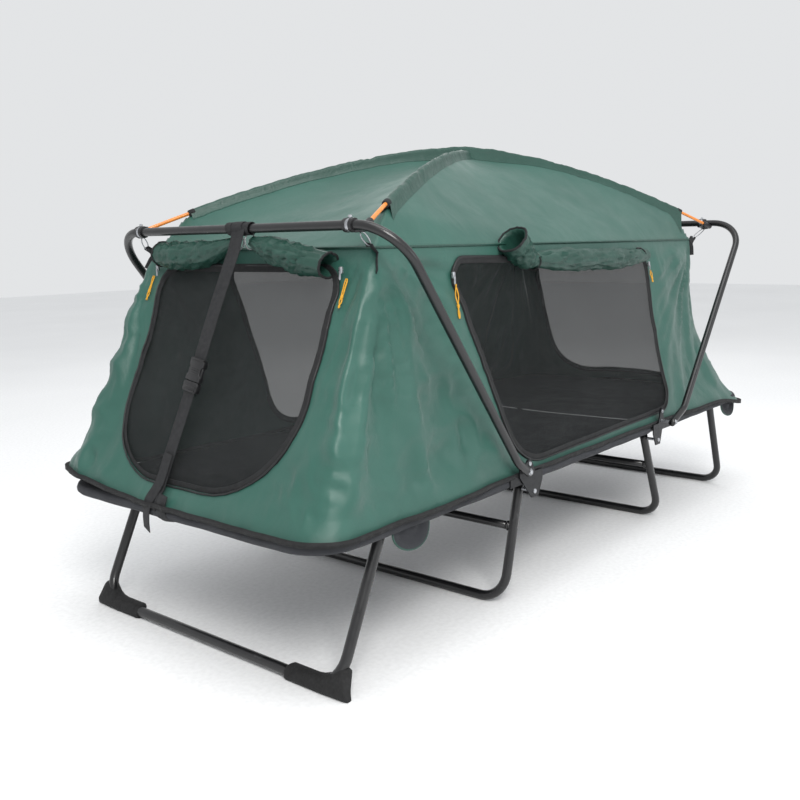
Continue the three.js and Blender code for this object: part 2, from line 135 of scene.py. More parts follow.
def soft_noise(points, scale, seed=0):
    """Smooth noise from -1 to 1 at each row of points, the same each run."""
    q = np.asarray(points, float) * scale + seed * 7.31
    cell = np.floor(q).astype(np.int64)
    f = q - cell
    f = f * f * (3 - 2 * f)
    total = np.zeros(len(q))
    for corner in itertools.product((0, 1), repeat=3):
        c = cell + np.array(corner)
        h = (c[:, 0] * 73856093) ^ (c[:, 1] * 19349663) ^ (c[:, 2] * 83492791) ^ (seed * 2654435761)
        h = (h ^ (h >> 13)) * 1274126177 & 0xFFFFFF
        value = h / 0x7FFFFF - 1
        share = np.prod(np.where(np.array(corner) == 1, f, 1 - f), axis=1)
        total += value * share
    return total


def crease(points, scale, seed):
    """Sharp-crested folds from -1 to 1: crisp ridges with flatter cloth between them."""
    bent = points + 0.045 * np.stack(
        [soft_noise(points, 5, seed + k) for k in (11, 12, 13)],
        axis=1)
    return 1 - 2.6 * np.abs(soft_noise(bent, scale, seed))


# ---- mesh helpers ----
def mesh_object(name, points, faces, material):
    """A mesh from its points and faces. Blender would put a point that isn't a number at 0, 0, 0."""
    points = [tuple(map(float, p)) for p in points]
    if not np.isfinite(np.array(points)).all():
        raise ValueError(f"{name} has a point that isn't a number")
    mesh = bpy.data.meshes.new(name)
    mesh.from_pydata(points, [], [tuple(map(int, f)) for f in faces])
    mesh.validate()
    mesh.update()
    obj = bpy.data.objects.new(name, mesh)
    bpy.context.scene.collection.objects.link(obj)
    mesh.materials.append(material)
    for polygon in mesh.polygons:
        polygon.use_smooth = True
    return obj


def grid_faces(rows, columns, wrap=False):
    faces = []
    for i in range(rows - 1):
        for j in range(columns if wrap else columns - 1):
            k = (j + 1) % columns
            faces.append((i * columns + j, i * columns + k, (i + 1) * columns + k, (i + 1) * columns + j))
    return faces


def unit(v):
    v = np.asarray(v, float)
    return v / np.maximum(np.linalg.norm(v, axis=-1, keepdims=True), 1e-12)


def tangents(path, closed=False):
    path = np.asarray(path, float)
    if closed:
        return unit(np.roll(path, -1, axis=0) - np.roll(path, 1, axis=0))
    return unit(np.gradient(path, axis=0))


def carried(path, start=None):
    """Normals that turn as little as they can along a path."""
    along = tangents(path)
    guess = np.array(start if start is not None else (0, 0, 1), float)
    if abs(guess @ along[0]) > 0.95:
        guess = np.array((1.0, 0, 0) if abs(along[0][0]) < 0.9 else (0, 0, 1.0))
    normals = []
    for t in along:
        guess = guess - (guess @ t) * t
        guess = guess / np.linalg.norm(guess)
        normals.append(guess)
    return np.array(normals)


def sweep(path, section, normals=None, scale=None, closed=False, ring=True):
    """Points and faces of a section carried along a path. A normal is the section's second axis.
    With ring the section is a loop, else an open strip; with closed the path is a loop."""
    path = np.asarray(path, float)
    section = np.asarray(section, float)
    along = tangents(path, closed)
    normals = carried(path) if normals is None else np.asarray(normals, float)
    normals = unit(normals - np.sum(normals * along, axis=1, keepdims=True) * along)
    across = np.cross(along, normals)
    scale = np.ones(len(path)) if scale is None else np.asarray(scale, float)
    n, m = len(path), len(section)
    points = (path[:, None, :] + scale[:, None, None] * (
        across[:, None, :] * section[None, :, 0, None] + normals[:, None, :] * section[None, :, 1, None]))
    points = points.reshape(-1, 3)
    faces = grid_faces(n, m, wrap=ring)
    if closed:
        for j in range(m if ring else m - 1):
            k = (j + 1) % m
            faces.append(((n - 1) * m + j, (n - 1) * m + k, k, j))
    elif ring:
        faces.append(tuple(range(m - 1, -1, -1)))
        faces.append(tuple((n - 1) * m + j for j in range(m)))
    return points, faces


def circle(radius, sides=20, squash_by=1.0):
    turn = np.linspace(0, 2 * math.pi, sides, endpoint=False)
    return np.stack([radius * np.cos(turn), radius * squash_by * np.sin(turn)], axis=1)


def band(width, thickness):
    """The section of a flat tape with softened edges."""
    w, t = width / 2, thickness / 2
    return [(-w, -t * 0.5), (-w + t, -t), (w - t, -t), (w, -t * 0.5),
            (w, t * 0.5), (w - t, t), (-w + t, t), (-w, t * 0.5)]


def merged(*parts):
    """Several (points, faces) as one."""
    points, faces, count = [], [], 0
    for p, f in parts:
        points.append(np.asarray(p, float))
        faces += [tuple(i + count for i in face) for face in f]
        count += len(p)
    return np.concatenate(points), faces


def rounded(corners, radii, steps=8, closed=False):
    """A polyline's points with each corner turned to its radius."""
    corners = [np.array(c, float) for c in corners]
    n = len(corners)
    radii = radii if hasattr(radii, "__len__") else [radii] * n
    points = [] if closed else [corners[0]]
    for i in range(0 if closed else 1, n if closed else n - 1):
        before, here, after = corners[i - 1], corners[i], corners[(i + 1) % n]
        a, b = unit(before - here), unit(after - here)
        half = math.acos(np.clip(a @ b, -1, 1)) / 2
        reach = radii[i] / math.tan(half)
        middle = here + unit(a + b) * radii[i] / math.sin(half)
        start, stop = here + a * reach - middle, here + b * reach - middle
        turn = math.acos(np.clip(unit(start) @ unit(stop), -1, 1))
        for k in range(steps + 1):
            t = k / steps
            swung = math.sin((1 - t) * turn) * start + math.sin(t * turn) * stop
            points.append(middle + swung / math.sin(turn))
    if not closed:
        points.append(corners[-1])
    return np.array(points)


def resampled(path, pitch, closed=False):
    """The same line with its points evenly spaced, about pitch apart."""
    path = np.asarray(path, float)
    if closed:
        path = np.vstack([path, path[:1]])
    run = np.concatenate([[0], np.cumsum(np.linalg.norm(np.diff(path, axis=0), axis=1))])
    count = max(3, round(run[-1] / pitch))
    places = np.linspace(0, run[-1], count + 1)
    out = np.stack([np.interp(places, run, path[:, k]) for k in range(path.shape[1])], axis=1)
    return out[:-1] if closed else out


def run_of(line):
    """The length of a line through points."""
    return float(np.linalg.norm(np.diff(np.asarray(line, float), axis=0), axis=1).sum())


def flowing(points, steps=8):
    """A smooth line through a few chosen points."""
    p = np.array(points, float)
    p = np.vstack([2 * p[0] - p[1], p, 2 * p[-1] - p[-2]])
    out = []
    for i in range(1, len(p) - 2):
        for k in range(steps):
            t = k / steps
            out.append(0.5 * (2 * p[i] + (p[i + 1] - p[i - 1]) * t
                              + (2 * p[i - 1] - 5 * p[i] + 4 * p[i + 1] - p[i + 2]) * t * t
                              + (3 * p[i] - p[i - 1] - 3 * p[i + 1] + p[i + 2]) * t ** 3))
    out.append(p[-2])
    return np.array(out)


def block(outline, thickness, bevel=0.0012):
    """A flat outline thickened about its plane, its edges softened. Local x, y, and z for thickness."""
    bm = bmesh.new()
    base = [bm.verts.new((x, y, -thickness / 2)) for x, y in outline]
    face = bm.faces.new(base)
    lifted = bmesh.ops.extrude_face_region(bm, geom=[face])
    top = [g for g in lifted["geom"] if isinstance(g, bmesh.types.BMVert)]
    bmesh.ops.translate(bm, verts=top, vec=(0, 0, thickness))
    bmesh.ops.recalc_face_normals(bm, faces=bm.faces)
    bmesh.ops.bevel(bm, geom=list(bm.edges), offset=bevel, segments=2, affect="EDGES", profile=0.5)
    bm.verts.index_update()
    points = np.array([v.co for v in bm.verts])
    faces = [tuple(v.index for v in f.verts) for f in bm.faces]
    bm.free()
    return points, faces


def placed(part, x_axis, y_axis, origin):
    """A local (points, faces) set down with its axes along the given directions."""
    points, faces = part
    x, y = unit(x_axis), unit(y_axis)
    y = unit(y - (y @ x) * x)
    basis = np.stack([x, y, np.cross(x, y)])
    return np.asarray(points) @ basis + np.asarray(origin, float), faces


def box_outline(width, height, cut=0.0):
    w, h = width / 2, height / 2
    if not cut:
        return [(-w, -h), (w, -h), (w, h), (-w, h)]
    return [(-w + cut, -h), (w - cut, -h), (w, -h + cut), (w, h - cut),
            (w - cut, h), (-w + cut, h), (-w, h - cut), (-w, -h + cut)]


def lathe(profile, start, stop, sides=24):
    """A turned part: profile holds (share along the axis from start to stop, radius)."""
    start, stop = np.array(start, float), np.array(stop, float)
    path = [start + (stop - start) * t for t, _ in profile]
    along = unit(stop - start)
    side = unit(np.cross(along, (0.3, 0.9, 0.2)))
    up = np.cross(along, side)
    turn = np.linspace(0, 2 * math.pi, sides, endpoint=False)
    points = np.concatenate([p + r * (np.cos(turn)[:, None] * side + np.sin(turn)[:, None] * up)
                             for p, (_, r) in zip(path, profile)])
    faces = grid_faces(len(profile), sides, wrap=True)
    faces.append(tuple(range(sides - 1, -1, -1)))
    faces.append(tuple((len(profile) - 1) * sides + j for j in range(sides)))
    return points, faces


# ---- camera, light, floor ----
def make_camera():
    data = bpy.data.cameras.new("camera")
    data.sensor_width = 36
    data.lens = 41.35
    camera = bpy.data.objects.new("camera", data)
    bpy.context.scene.collection.objects.link(camera)
    yaw, pitch, roll = 0.6931, -0.1706, -0.0188
    ahead = Vector((math.cos(yaw) * math.cos(pitch), math.sin(yaw) * math.cos(pitch), math.sin(pitch)))
    right = ahead.cross(Vector((0, 0, 1))).normalized()
    up = right.cross(ahead)
    right, up = (right * math.cos(roll) + up * math.sin(roll), up * math.cos(roll) - right * math.sin(roll))
    camera.matrix_world = Matrix.Translation((-2.0925, -1.4830, 0.8320)) @ Matrix(
        (right, up, -ahead)).transposed().to_4x4()
    bpy.context.scene.camera = camera


def make_light():
    def area(name, place, target, size, power, colour=(1, 1, 1)):
        data = bpy.data.lights.new(name, "AREA")
        data.shape = "RECTANGLE"
        data.size, data.size_y = size
        data.energy = power
        data.color = colour
        lamp = bpy.data.objects.new(name, data)
        lamp.location = place
        lamp.rotation_euler = (Vector(target) - Vector(place)).to_track_quat("-Z", "Y").to_euler()
        bpy.context.scene.collection.objects.link(lamp)

    area("key", (-2.9, -2.9, 3.4), (0, 0, 0.5), (1.7, 1.7), 150, (1.0, 0.99, 0.97))
    area("top", (-0.6, -0.8, 4.4), (0, 0, 0.6), (3.0, 2.4), 60)
    area("side", (1.0, -4.4, 1.7), (0.1, 0, 0.5), (2.4, 1.4), 26, (0.96, 0.98, 1.0))
    area("back", (3.2, 2.6, 2.2), (0.2, 0, 0.5), (2.2, 1.6), 16)
    world = bpy.data.worlds.new("studio")
    world.use_nodes = True
    background = world.node_tree.nodes["Background"]
    background.inputs["Color"].default_value = (0.96, 0.975, 0.99, 1)
    background.inputs["Strength"].default_value = 0.80
    bpy.context.scene.world = world
    bpy.context.scene.view_settings.view_transform = "Standard"
    bpy.context.scene.view_settings.look = "None"


def make_floor():
    reach = 14
    corners = [(-reach, -reach, 0), (reach, -reach, 0), (reach, reach, 0), (-reach, reach, 0)]
    floor = mesh_object("studio_floor", corners, [(0, 1, 2, 3)], surface(
        "floor_paint", (0.90, 0.905, 0.91), 0.8, mottle=0.012, mottle_scale=0.8, grain=90, grain_depth=0.02))
    floor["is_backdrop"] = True


# ---- materials ----
def srgb(r, g, b):
    shares = (r / 255, g / 255, b / 255)
    return tuple((c / 12.92 if c <= 0.04045 else ((c + 0.055) / 1.055) ** 2.4) for c in shares)


def surface(name, colour, roughness, metallic=0.0, mottle=0.08, mottle_scale=7.0, grain=300.0,
            grain_depth=0.1, weave=0.0, weave_depth=0.25, rub=0.0, rough_spread=0.08, sheen=0.0, coat=0.0,
            alpha=1.0, creases=0.0, crease_scale=26.0):
    """A procedural finish: mottled colour, uneven gloss, grain, and a woven or creased relief."""
    made = bpy.data.materials.new(name)
    made.use_nodes = True
    nodes, links = made.node_tree.nodes, made.node_tree.links
    shader = nodes["Principled BSDF"]
    shader.inputs["Metallic"].default_value = metallic
    shader.inputs["Sheen Weight"].default_value = sheen
    shader.inputs["Coat Weight"].default_value = coat
    shader.inputs["Alpha"].default_value = alpha
    place = nodes.new("ShaderNodeTexCoord").outputs["Object"]

    def noise(scale, detail=3.0, warp=0.0):
        node = nodes.new("ShaderNodeTexNoise")
        node.inputs["Scale"].default_value = scale
        node.inputs["Detail"].default_value = detail
        node.inputs["Distortion"].default_value = warp
        links.new(place, node.inputs["Vector"])
        return node.outputs["Fac"]

    def ranged(value, low, high, to_low, to_high):
        node = nodes.new("ShaderNodeMapRange")
        for key, number in (("From Min", low), ("From Max", high), ("To Min", to_low), ("To Max", to_high)):
            node.inputs[key].default_value = number
        links.new(value, node.inputs["Value"])
        return node.outputs["Result"]

    def calc(kind, a, b):
        node = nodes.new("ShaderNodeMath")
        node.operation = kind
        for socket, value in ((0, a), (1, b)):
            if isinstance(value, (int, float)):
                node.inputs[socket].default_value = value
            else:
                links.new(value, node.inputs[socket])
        return node.outputs[0]

    def mixed(share, a, b):
        node = nodes.new("ShaderNodeMix")
        node.data_type = "RGBA"
        links.new(share, node.inputs[0])
        for socket, value in ((6, a), (7, b)):
            if isinstance(value, tuple):
                node.inputs[socket].default_value = (*value, 1)
            else:
                links.new(value, node.inputs[socket])
        return node.outputs[2]

    def wave(scale, direction):
        node = nodes.new("ShaderNodeTexWave")
        node.bands_direction = direction
        node.inputs["Scale"].default_value = scale
        links.new(place, node.inputs["Vector"])
        return node.outputs["Fac"]

    dark = tuple(c * (1 - 1.6 * mottle) for c in colour)
    light = tuple(min(1, c * (1 + 1.6 * mottle) + 0.004) for c in colour)
    broad = ranged(noise(mottle_scale, 4, 0.3), 0.32, 0.68, 0, 1)
    paint = mixed(broad, dark, light)
    fine = noise(grain, 2)
    paint = mixed(ranged(fine, 0.35, 0.75, 0, 0.5), paint, tuple(c * 0.82 for c in colour))
    if rub:
        worn = ranged(noise(46, 6, 0.8), 0.66, 0.74, 0, rub)
        paint = mixed(worn, paint, tuple(min(1, c * 2.4 + 0.05) for c in colour))
    height = calc("MULTIPLY", fine, grain_depth)
    if weave:
        threads = calc("ADD", calc("MAXIMUM", wave(weave, "X"), wave(weave, "Y")), wave(weave, "Z"))
        height = calc("ADD", height, calc("MULTIPLY", threads, weave_depth))
        paint = mixed(ranged(threads, 0.4, 1.9, 0, 0.3), paint, tuple(c * 0.7 for c in colour))
    if creases:
        lines = calc("ABSOLUTE", calc("SUBTRACT", noise(crease_scale, 3, 1.2), 0.5), 0)
        height = calc("ADD", height, calc("MULTIPLY", ranged(lines, 0, 0.16, 1, 0), creases))
    bump = nodes.new("ShaderNodeBump")
    bump.inputs["Strength"].default_value = 0.55
    bump.inputs["Distance"].default_value = 0.0012
    links.new(height, bump.inputs["Height"])
    links.new(bump.outputs[0], shader.inputs["Normal"])
    links.new(paint, shader.inputs["Base Color"])
    low_rough = max(0.05, roughness - rough_spread)
    links.new(ranged(noise(mottle_scale * 3, 4), 0.3, 0.7, low_rough, roughness + rough_spread),
              shader.inputs["Roughness"])
    return made


def make_materials():
    return {
        "nylon": surface("green_nylon", srgb(37, 85, 74), 0.46, mottle=0.06, mottle_scale=5, grain=700,
                         grain_depth=0.06, weave=190, weave_depth=0.08, sheen=0.10, creases=0.5,
                          crease_scale=11),
        # a darker copy of the green nylon: painted shade, used for the rolls, the pole sleeves, the seam welt
        # and the flap piping
        "nylon_painted_shade": surface("green_nylon_painted_shade", srgb(30, 68, 58), 0.44, mottle=0.08, mottle_scale=9, grain=700,
                                grain_depth=0.06, weave=190, weave_depth=0.08, creases=0.8, crease_scale=20),
        "net_door": surface("door_net", srgb(24, 28, 29), 0.85, mottle=0.05, grain=900, weave=420,
                            weave_depth=0.5, alpha=0.74),
        "net_window": surface("window_net", srgb(22, 26, 27), 0.85, mottle=0.05, grain=900, weave=420,
                              weave_depth=0.5, alpha=0.52),
        "binding": surface("binding_tape", srgb(20, 21, 23), 0.75, mottle=0.1, mottle_scale=30, grain=900,
                           weave=520, weave_depth=0.5),
        "zip": surface("zip_coil", srgb(22, 22, 24), 0.42, mottle=0.08, mottle_scale=60, grain=900),
        "webbing": surface("webbing_tape", srgb(24, 25, 28), 0.72, mottle=0.09, mottle_scale=40, grain=800,
                           weave=300, weave_depth=0.9),
        "deck": surface("deck_cloth", srgb(40, 42, 47), 0.78, mottle=0.09, mottle_scale=8, grain=800,
                        weave=260, weave_depth=0.35, creases=0.6),
        "steel": surface("black_powder_coat", srgb(15, 15, 17), 0.34, mottle=0.10, mottle_scale=18,
                         grain=1100,
                         grain_depth=0.16, rub=0.35, coat=0.25, rough_spread=0.07),
        "plate": surface("bracket_coat", srgb(26, 27, 30), 0.42, metallic=0.5, mottle=0.12, mottle_scale=40,
                         grain=900, grain_depth=0.14, rub=0.5),
        "zinc": surface("zinc_plate", srgb(176, 178, 182), 0.30, metallic=0.9, mottle=0.10, mottle_scale=70,
                        grain=1300, grain_depth=0.12, rough_spread=0.1),
        "plastic": surface("black_plastic", srgb(20, 20, 22), 0.38, mottle=0.08, mottle_scale=50, grain=1500,
                           grain_depth=0.22, rub=0.15),
        "pole": surface("pole_resin", srgb(222, 132, 48), 0.36, mottle=0.08, mottle_scale=60, grain=1200,
                        grain_depth=0.1, coat=0.3),
        "rubber": surface("black_rubber", srgb(19, 19, 20), 0.82, mottle=0.14, mottle_scale=60, grain=900,
                          grain_depth=0.5),
        "tie": surface("tie_cord", srgb(150, 156, 156), 0.6, mottle=0.1, mottle_scale=90, grain=1200,
                       weave=900, weave_depth=0.6),
        "cord": surface("pull_cord", srgb(240, 176, 46), 0.66, mottle=0.10, mottle_scale=120, grain=1500,
                        weave=900, weave_depth=0.8),
    }


# ---- riding: how the cloth follows the two folding bows ----
def fold_regions():
    regions = {}
    for end, data in ENDS.items():
        joint = JOINTS[f"{end}_bow_fold"]
        pivot = Vector(joint["pos_m"])
        top = Vector((data["sign"] * data["bow_top"][0], 0, data["bow_top"][1]))
        arm = (top - pivot).normalized()
        regions[end] = {"body": joint["child"], "joint": joint["name"], "axis": (arm.z, 0, -arm.x),
                        "anchor": tuple(pivot)}
    regions["center"] = {"body": "center_frame", "joint": "foot_bow_fold", "axis": (0, 0, 1),
                         "anchor": (0, 0, HEM_Z)}
    return regions


REGIONS = fold_regions()
FOLD_PEAK = Vector((0, 0, 0.63))  # where the two folding parts of the canopy meet the part between them


def region_of(point):
    """The part of the canopy a point belongs to: foot, head, or center below their meeting point."""
    for end, side in (("foot", -1), ("head", 1)):
        pivot = Vector(REGIONS[end]["anchor"])
        line = FOLD_PEAK - pivot
        inside = side * point[0] >= 0
        above = (point[2] - pivot.z) * abs(line.x) > side * (pivot.x - point[0]) * line.z
        if inside and above:
            return end
    return "center"


def cut_by_region(obj):
    """Splits a mesh where the canopy folds, keeping its shading continuous. Returns region: object."""
    bm = bmesh.new()
    bm.from_mesh(obj.data)
    planes = [(Vector((0, 0, 0)), Vector((1, 0, 0)))]
    for end in ("foot", "head"):
        pivot = Vector(REGIONS[end]["anchor"])
        line = FOLD_PEAK - pivot
        planes.append((pivot, Vector((line.z, 0, -line.x))))
    for place, normal in planes:
        bmesh.ops.bisect_plane(bm, geom=bm.verts[:] + bm.edges[:] + bm.faces[:], dist=1e-6,
                               plane_co=place, plane_no=normal)
    bm.normal_update()
    bm.verts.index_update()
    points = [tuple(v.co) for v in bm.verts]
    normals = [tuple(v.normal) for v in bm.verts]
    groups = {}
    for face in bm.faces:
        groups.setdefault(region_of(face.calc_center_median()), []).append([v.index for v in face.verts])
    bm.free()
    material, name = obj.data.materials[0], obj.name
    bpy.data.objects.remove(obj)
    parts = {}
    for region, faces in groups.items():
        used = sorted({i for f in faces for i in f})
        index = {i: k for k, i in enumerate(used)}
        part = mesh_object(f"{name}_{region}" if len(groups) > 1 else name, [points[i] for i in used],
                           [[index[i] for i in f] for f in faces], material)
        part.data.normals_split_custom_set_from_vertices([normals[i] for i in used])
        parts[region] = part
    return parts


def follow(obj, region, replaced=()):
    """The piece rides on one region's body."""
    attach(obj, REGIONS[region]["body"])
    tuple(REGIONS[region]["axis"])
    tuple(REGIONS[region]["anchor"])
    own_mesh(obj)
    if replaced:
        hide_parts(*replaced)
    return obj


def hang(obj, replaced=()):
    """Cuts a canopy piece into its folding regions and lets each follow its own."""
    return {region: follow(part, region, replaced=replaced)
            for region, part in cut_by_region(obj).items()}


# ---- the canopy as one surface ----
WALLS = ("foot", "head", "near", "far")
SLOPES = {
    "foot": math.hypot(HEM_X - TOP_FOOT, WALL_DROP),
    "head": math.hypot(HEM_X - TOP_HEAD, WALL_DROP),
    "near": math.hypot(HEM_Y - TOP_Y, WALL_DROP),
    "far": math.hypot(HEM_Y - TOP_Y, WALL_DROP),
}
HOLLOW = {"foot": 0.008, "head": 0.034, "side": 0.006}  # how far each wall is drawn in at mid height
FLARE = {"foot": 0.014, "head": 0.022, "side": 0.014}  # how far each hem kicks out over the rail


def reach_x(w, end):
    """Half the canopy's length towards one end, w of the way down from the roof seam to the hem."""
    top = TOP_FOOT if end == "foot" else TOP_HEAD
    return top + (HEM_X - top) * w - HOLLOW[end] * np.sin(math.pi * w) + FLARE[end] * smooth(w, 0.8, 1) ** 2


def reach_y(w, x):
    """Half its width there; the cloth is drawn in towards the head end's corners."""
    flare = FLARE["side"] * smooth(w, 0.85, 1) * smooth(np.abs(x), 0.48, 0.62)
    base = TOP_Y + (HEM_Y - TOP_Y) * w - HOLLOW["side"] * np.sin(math.pi * w) + flare
    drawn_in = 0.034 * np.sin(math.pi * np.clip(w, 0, 1)) + 0.020 * (1 - w)
    return base - drawn_in * smooth(x, 0.25, 0.85)


def hem_level(u, v):
    """The hem's height, u along the bed and v across it. It rides up at the far foot corner and hangs
    lower round the head end."""
    lifted = 0.032 * smooth(-u, 0.75, 1.0) * smooth(v, 0.2, 1.0)
    hanging = 0.034 * smooth(u, 0.72, 1.0) * smooth(np.abs(v), 0.1, 0.9)
    return HEM_Z - 0.004 + lifted - hanging


def corner_radius(w):
    return 0.016 + 0.062 * w ** 1.5


def folds(base, along, drop, seed):
    """How far the cloth stands out of its smooth surface: fans of folds under the top corners, long
    slack folds between them, and crisp small creases."""
    reach = np.hypot(along, drop)
    angle = np.arctan2(along, np.maximum(drop, 1e-5))
    ray = np.stack([angle, 0.30 * reach, seed], axis=1)
    fan = 0.0105 * crease(ray, 5.5, 9) + 0.0060 * crease(ray, 11, 10)
    fan = fan * smooth(reach, 0.0, 0.20) * (1 - smooth(reach, 0.30, 0.70))
    slack = 0.0115 * crease(base * np.array((1, 1, 0.28)), 8, 3)
    slack = slack + 0.0068 * crease(base * np.array((1, 1, 0.45)), 17, 5)
    small = 0.0026 * crease(base, 34, 8)
    level = np.clip(drop / WALL_DROP, 0, 1.2)
    held = smooth(level, 0, 0.10) * (1 - 0.75 * smooth(level, 0.86, 1.0))
    near_foot = 1 - 0.45 * smooth(base[:, 0], -0.75, 0.5)
    return fan * held + (slack + small) * held * near_foot


def wall_point(wall, q, w, out=0.0, calm=0.0):
    """Points of a wall. q runs along it, in metres, w from the roof seam (0) to the hem (1). out lifts the
    point off the cloth, and calm smooths the folds away."""
    q, w = np.broadcast_arrays(np.asarray(q, float), np.asarray(w, float))
    q, w, out = q.ravel(), w.ravel(), np.broadcast_to(out, q.shape).ravel()
    calm = np.broadcast_to(calm, q.shape).ravel()
    r = corner_radius(w)
    if wall in ("foot", "head"):
        sign = -1 if wall == "foot" else 1
        face = reach_x(w, wall)
        half = reach_y(w, sign * face)
        side = np.sign(q) + (q == 0)
    else:
        sign = -1 if wall == "near" else 1
        half = np.where(q < 0, reach_x(w, "foot"), reach_x(w, "head"))
        face = reach_y(w, q)
        side = np.sign(q) + (q == 0)
    turn = np.clip((np.abs(q) - (half - r)) / r, 0, 1) * math.pi / 4
    bent = turn > 0
    along = np.where(bent, half - r + r * np.sin(turn), np.abs(q)) * side
    across = face - np.where(bent, r * (1 - np.cos(turn)), 0)
    normal_along, normal_across = np.sin(turn) * side, np.cos(turn)
    level = 0 * along
    if wall in ("foot", "head"):
        x, y = sign * across, along
        normal = np.stack([sign * normal_across, normal_along, level], axis=1)
        signed = np.abs(q) - half
    else:
        x, y = along, sign * across
        normal = np.stack([normal_along, sign * normal_across, level], axis=1)
        signed = half - np.abs(q)
    u = x / np.where(x < 0, reach_x(w, "foot"), reach_x(w, "head"))
    z = SEAM_Z + (hem_level(u, y / reach_y(w, x)) - SEAM_Z) * w
    base = np.stack([x, y, z], axis=1)
    seed = np.where(base[:, 0] < 0, 0.0, 1.3) + np.where(base[:, 1] < 0, 0.0, 2.1)
    move = folds(base, signed, (SEAM_Z - z), seed) * (1 - calm) + out
    return base + normal * move[:, None]


def ridge_height(m):
    """The roof's height under the poles, m of the way from the peak to the seam."""
    return SEAM_Z + (APEX_Z - SEAM_Z) * (1 - m ** POLE["power"])


def roof_height(u, v):
    """Height of the dome, u and v from -1 to 1. It rises to the poles along both diagonals."""
    m = np.maximum(np.abs(u), np.abs(v))
    r = np.minimum(np.abs(u), np.abs(v)) / np.maximum(m, 1e-9)
    z = ridge_height(m) - 0.045 * m * (1 - m) * (1 - r ** 2)
    along_pole = m * np.where(u < 0, TOP_FOOT, TOP_HEAD) / POLE["x"]
    rise = POLE["rise"]["a"] + (POLE["rise"]["b"] - POLE["rise"]["a"]) * (u * v < 0) * smooth(m, 0.08, 0.3)
    pole = POLE["z"] + rise * (1 - along_pole ** POLE["power"]) - 0.008
    lift = np.maximum(pole - ridge_height(m), 0) * (1 - smooth(m, 0.89, 1.0))
    return z + lift * r ** 2.6


def roof_point(u, v):
    u, v = np.asarray(u, float).ravel(), np.asarray(v, float).ravel()
    x = np.where(u < 0, u * TOP_FOOT, u * TOP_HEAD)
    y = v * np.where(u < 0, TOP_Y, TOP_Y - 0.020 * smooth(x, 0.25, 0.85))
    m = np.maximum(np.abs(u), np.abs(v))
    base = np.stack([x, y, roof_height(u, v)], axis=1)
    ripple = 0.0030 * crease(base * np.array((0.6, 1, 1)), 6, 21) + 0.0011 * crease(base, 16, 22)
    base[:, 2] += ripple * smooth(1 - m, 0, 0.12) * (0.35 + 0.65 * m)
    return base


def roof_level(points):
    """The roof's height under each point."""
    x, y = points[:, 0], points[:, 1]
    u = x / np.where(x < 0, TOP_FOOT, TOP_HEAD)
    v = y / np.where(x < 0, TOP_Y, TOP_Y - 0.020 * smooth(x, 0.25, 0.85))
    return roof_point(np.clip(u, -1, 1), np.clip(v, -1, 1))[:, 2]


CORNER_ROUND = {"door": (0.045, 0.045, 0.20, 0.15), "rear": (0.045, 0.045, 0.14, 0.14),
                "window": (0.035, 0.035, 0.05, 0.13)}
EDGE_CALM = 0.75  # how much of the folding an opening's bound edge holds flat
OPENINGS = {  # corners as (along the wall, up its slope), and how they are rounded
    "foot": ([(0.268, 0.508), (-0.275, 0.508), (-0.264, 0.046), (0.262, 0.046)], "door"),
    "head": ([(0.255, 0.508), (-0.255, 0.508), (-0.262, 0.046), (0.262, 0.046)], "rear"),
    "near": ([(-0.565, 0.478), (0.372, 0.462), (0.452, 0.030), (-0.365, 0.018)], "window"),
    "far": ([(-0.565, 0.478), (0.372, 0.462), (0.452, 0.030), (-0.365, 0.018)], "window"),
}


def opening_loop(wall, pitch=0.006, grow=0.0):
    """The edge of a wall's opening as (along, up the slope) points, grown outwards by grow."""
    corners, kind = OPENINGS[wall]
    loop = resampled(rounded(corners, CORNER_ROUND[kind], steps=10, closed=True), pitch, closed=True)
    if grow:
        along = tangents(loop, closed=True)
        outward = np.stack([along[:, 1], -along[:, 0]], axis=1)
        centre = loop.mean(axis=0)
        if np.sum((loop - centre) * outward) < 0:
            outward = -outward
        loop = loop + outward * grow
    return loop


def down(wall, h):
    return 1 - np.asarray(h, float) / SLOPES[wall]


def inside_loop(points, loop):
    """True where a point lies in the loop."""
    x, y = points[:, 0][:, None], points[:, 1][:, None]
    a, b = loop, np.roll(loop, -1, axis=0)
    crossing = (a[:, 1] > y) != (b[:, 1] > y)
    with np.errstate(divide="ignore", invalid="ignore"):
        cut = (b[:, 0] - a[:, 0]) * (y - a[:, 1]) / (b[:, 1] - a[:, 1]) + a[:, 0]
    return (np.sum(crossing & (x < cut), axis=1) % 2).astype(bool)


def nearest(points, loop):
    """For each point, the closest point of the loop, and how far off it is."""
    found = np.empty_like(points)
    gap = np.full(len(points), 1e9)
    a, b = loop, np.roll(loop, -1, axis=0)
    for start in range(0, len(points), 4000):
        p = points[start:start + 4000, None, :]
        t = np.clip(np.sum((p - a) * (b - a), axis=2) / np.sum((b - a) ** 2, axis=1), 0, 1)
        spot = a + t[..., None] * (b - a)
        d = np.linalg.norm(p - spot, axis=2)
        best = d.argmin(axis=1)
        rows = np.arange(len(best))
        found[start:start + 4000] = spot[rows, best]
        gap[start:start + 4000] = d[rows, best]
    return found, gap


ROWS = 66
COLUMNS = {"foot": 150, "head": 150, "near": 150, "far": 150}


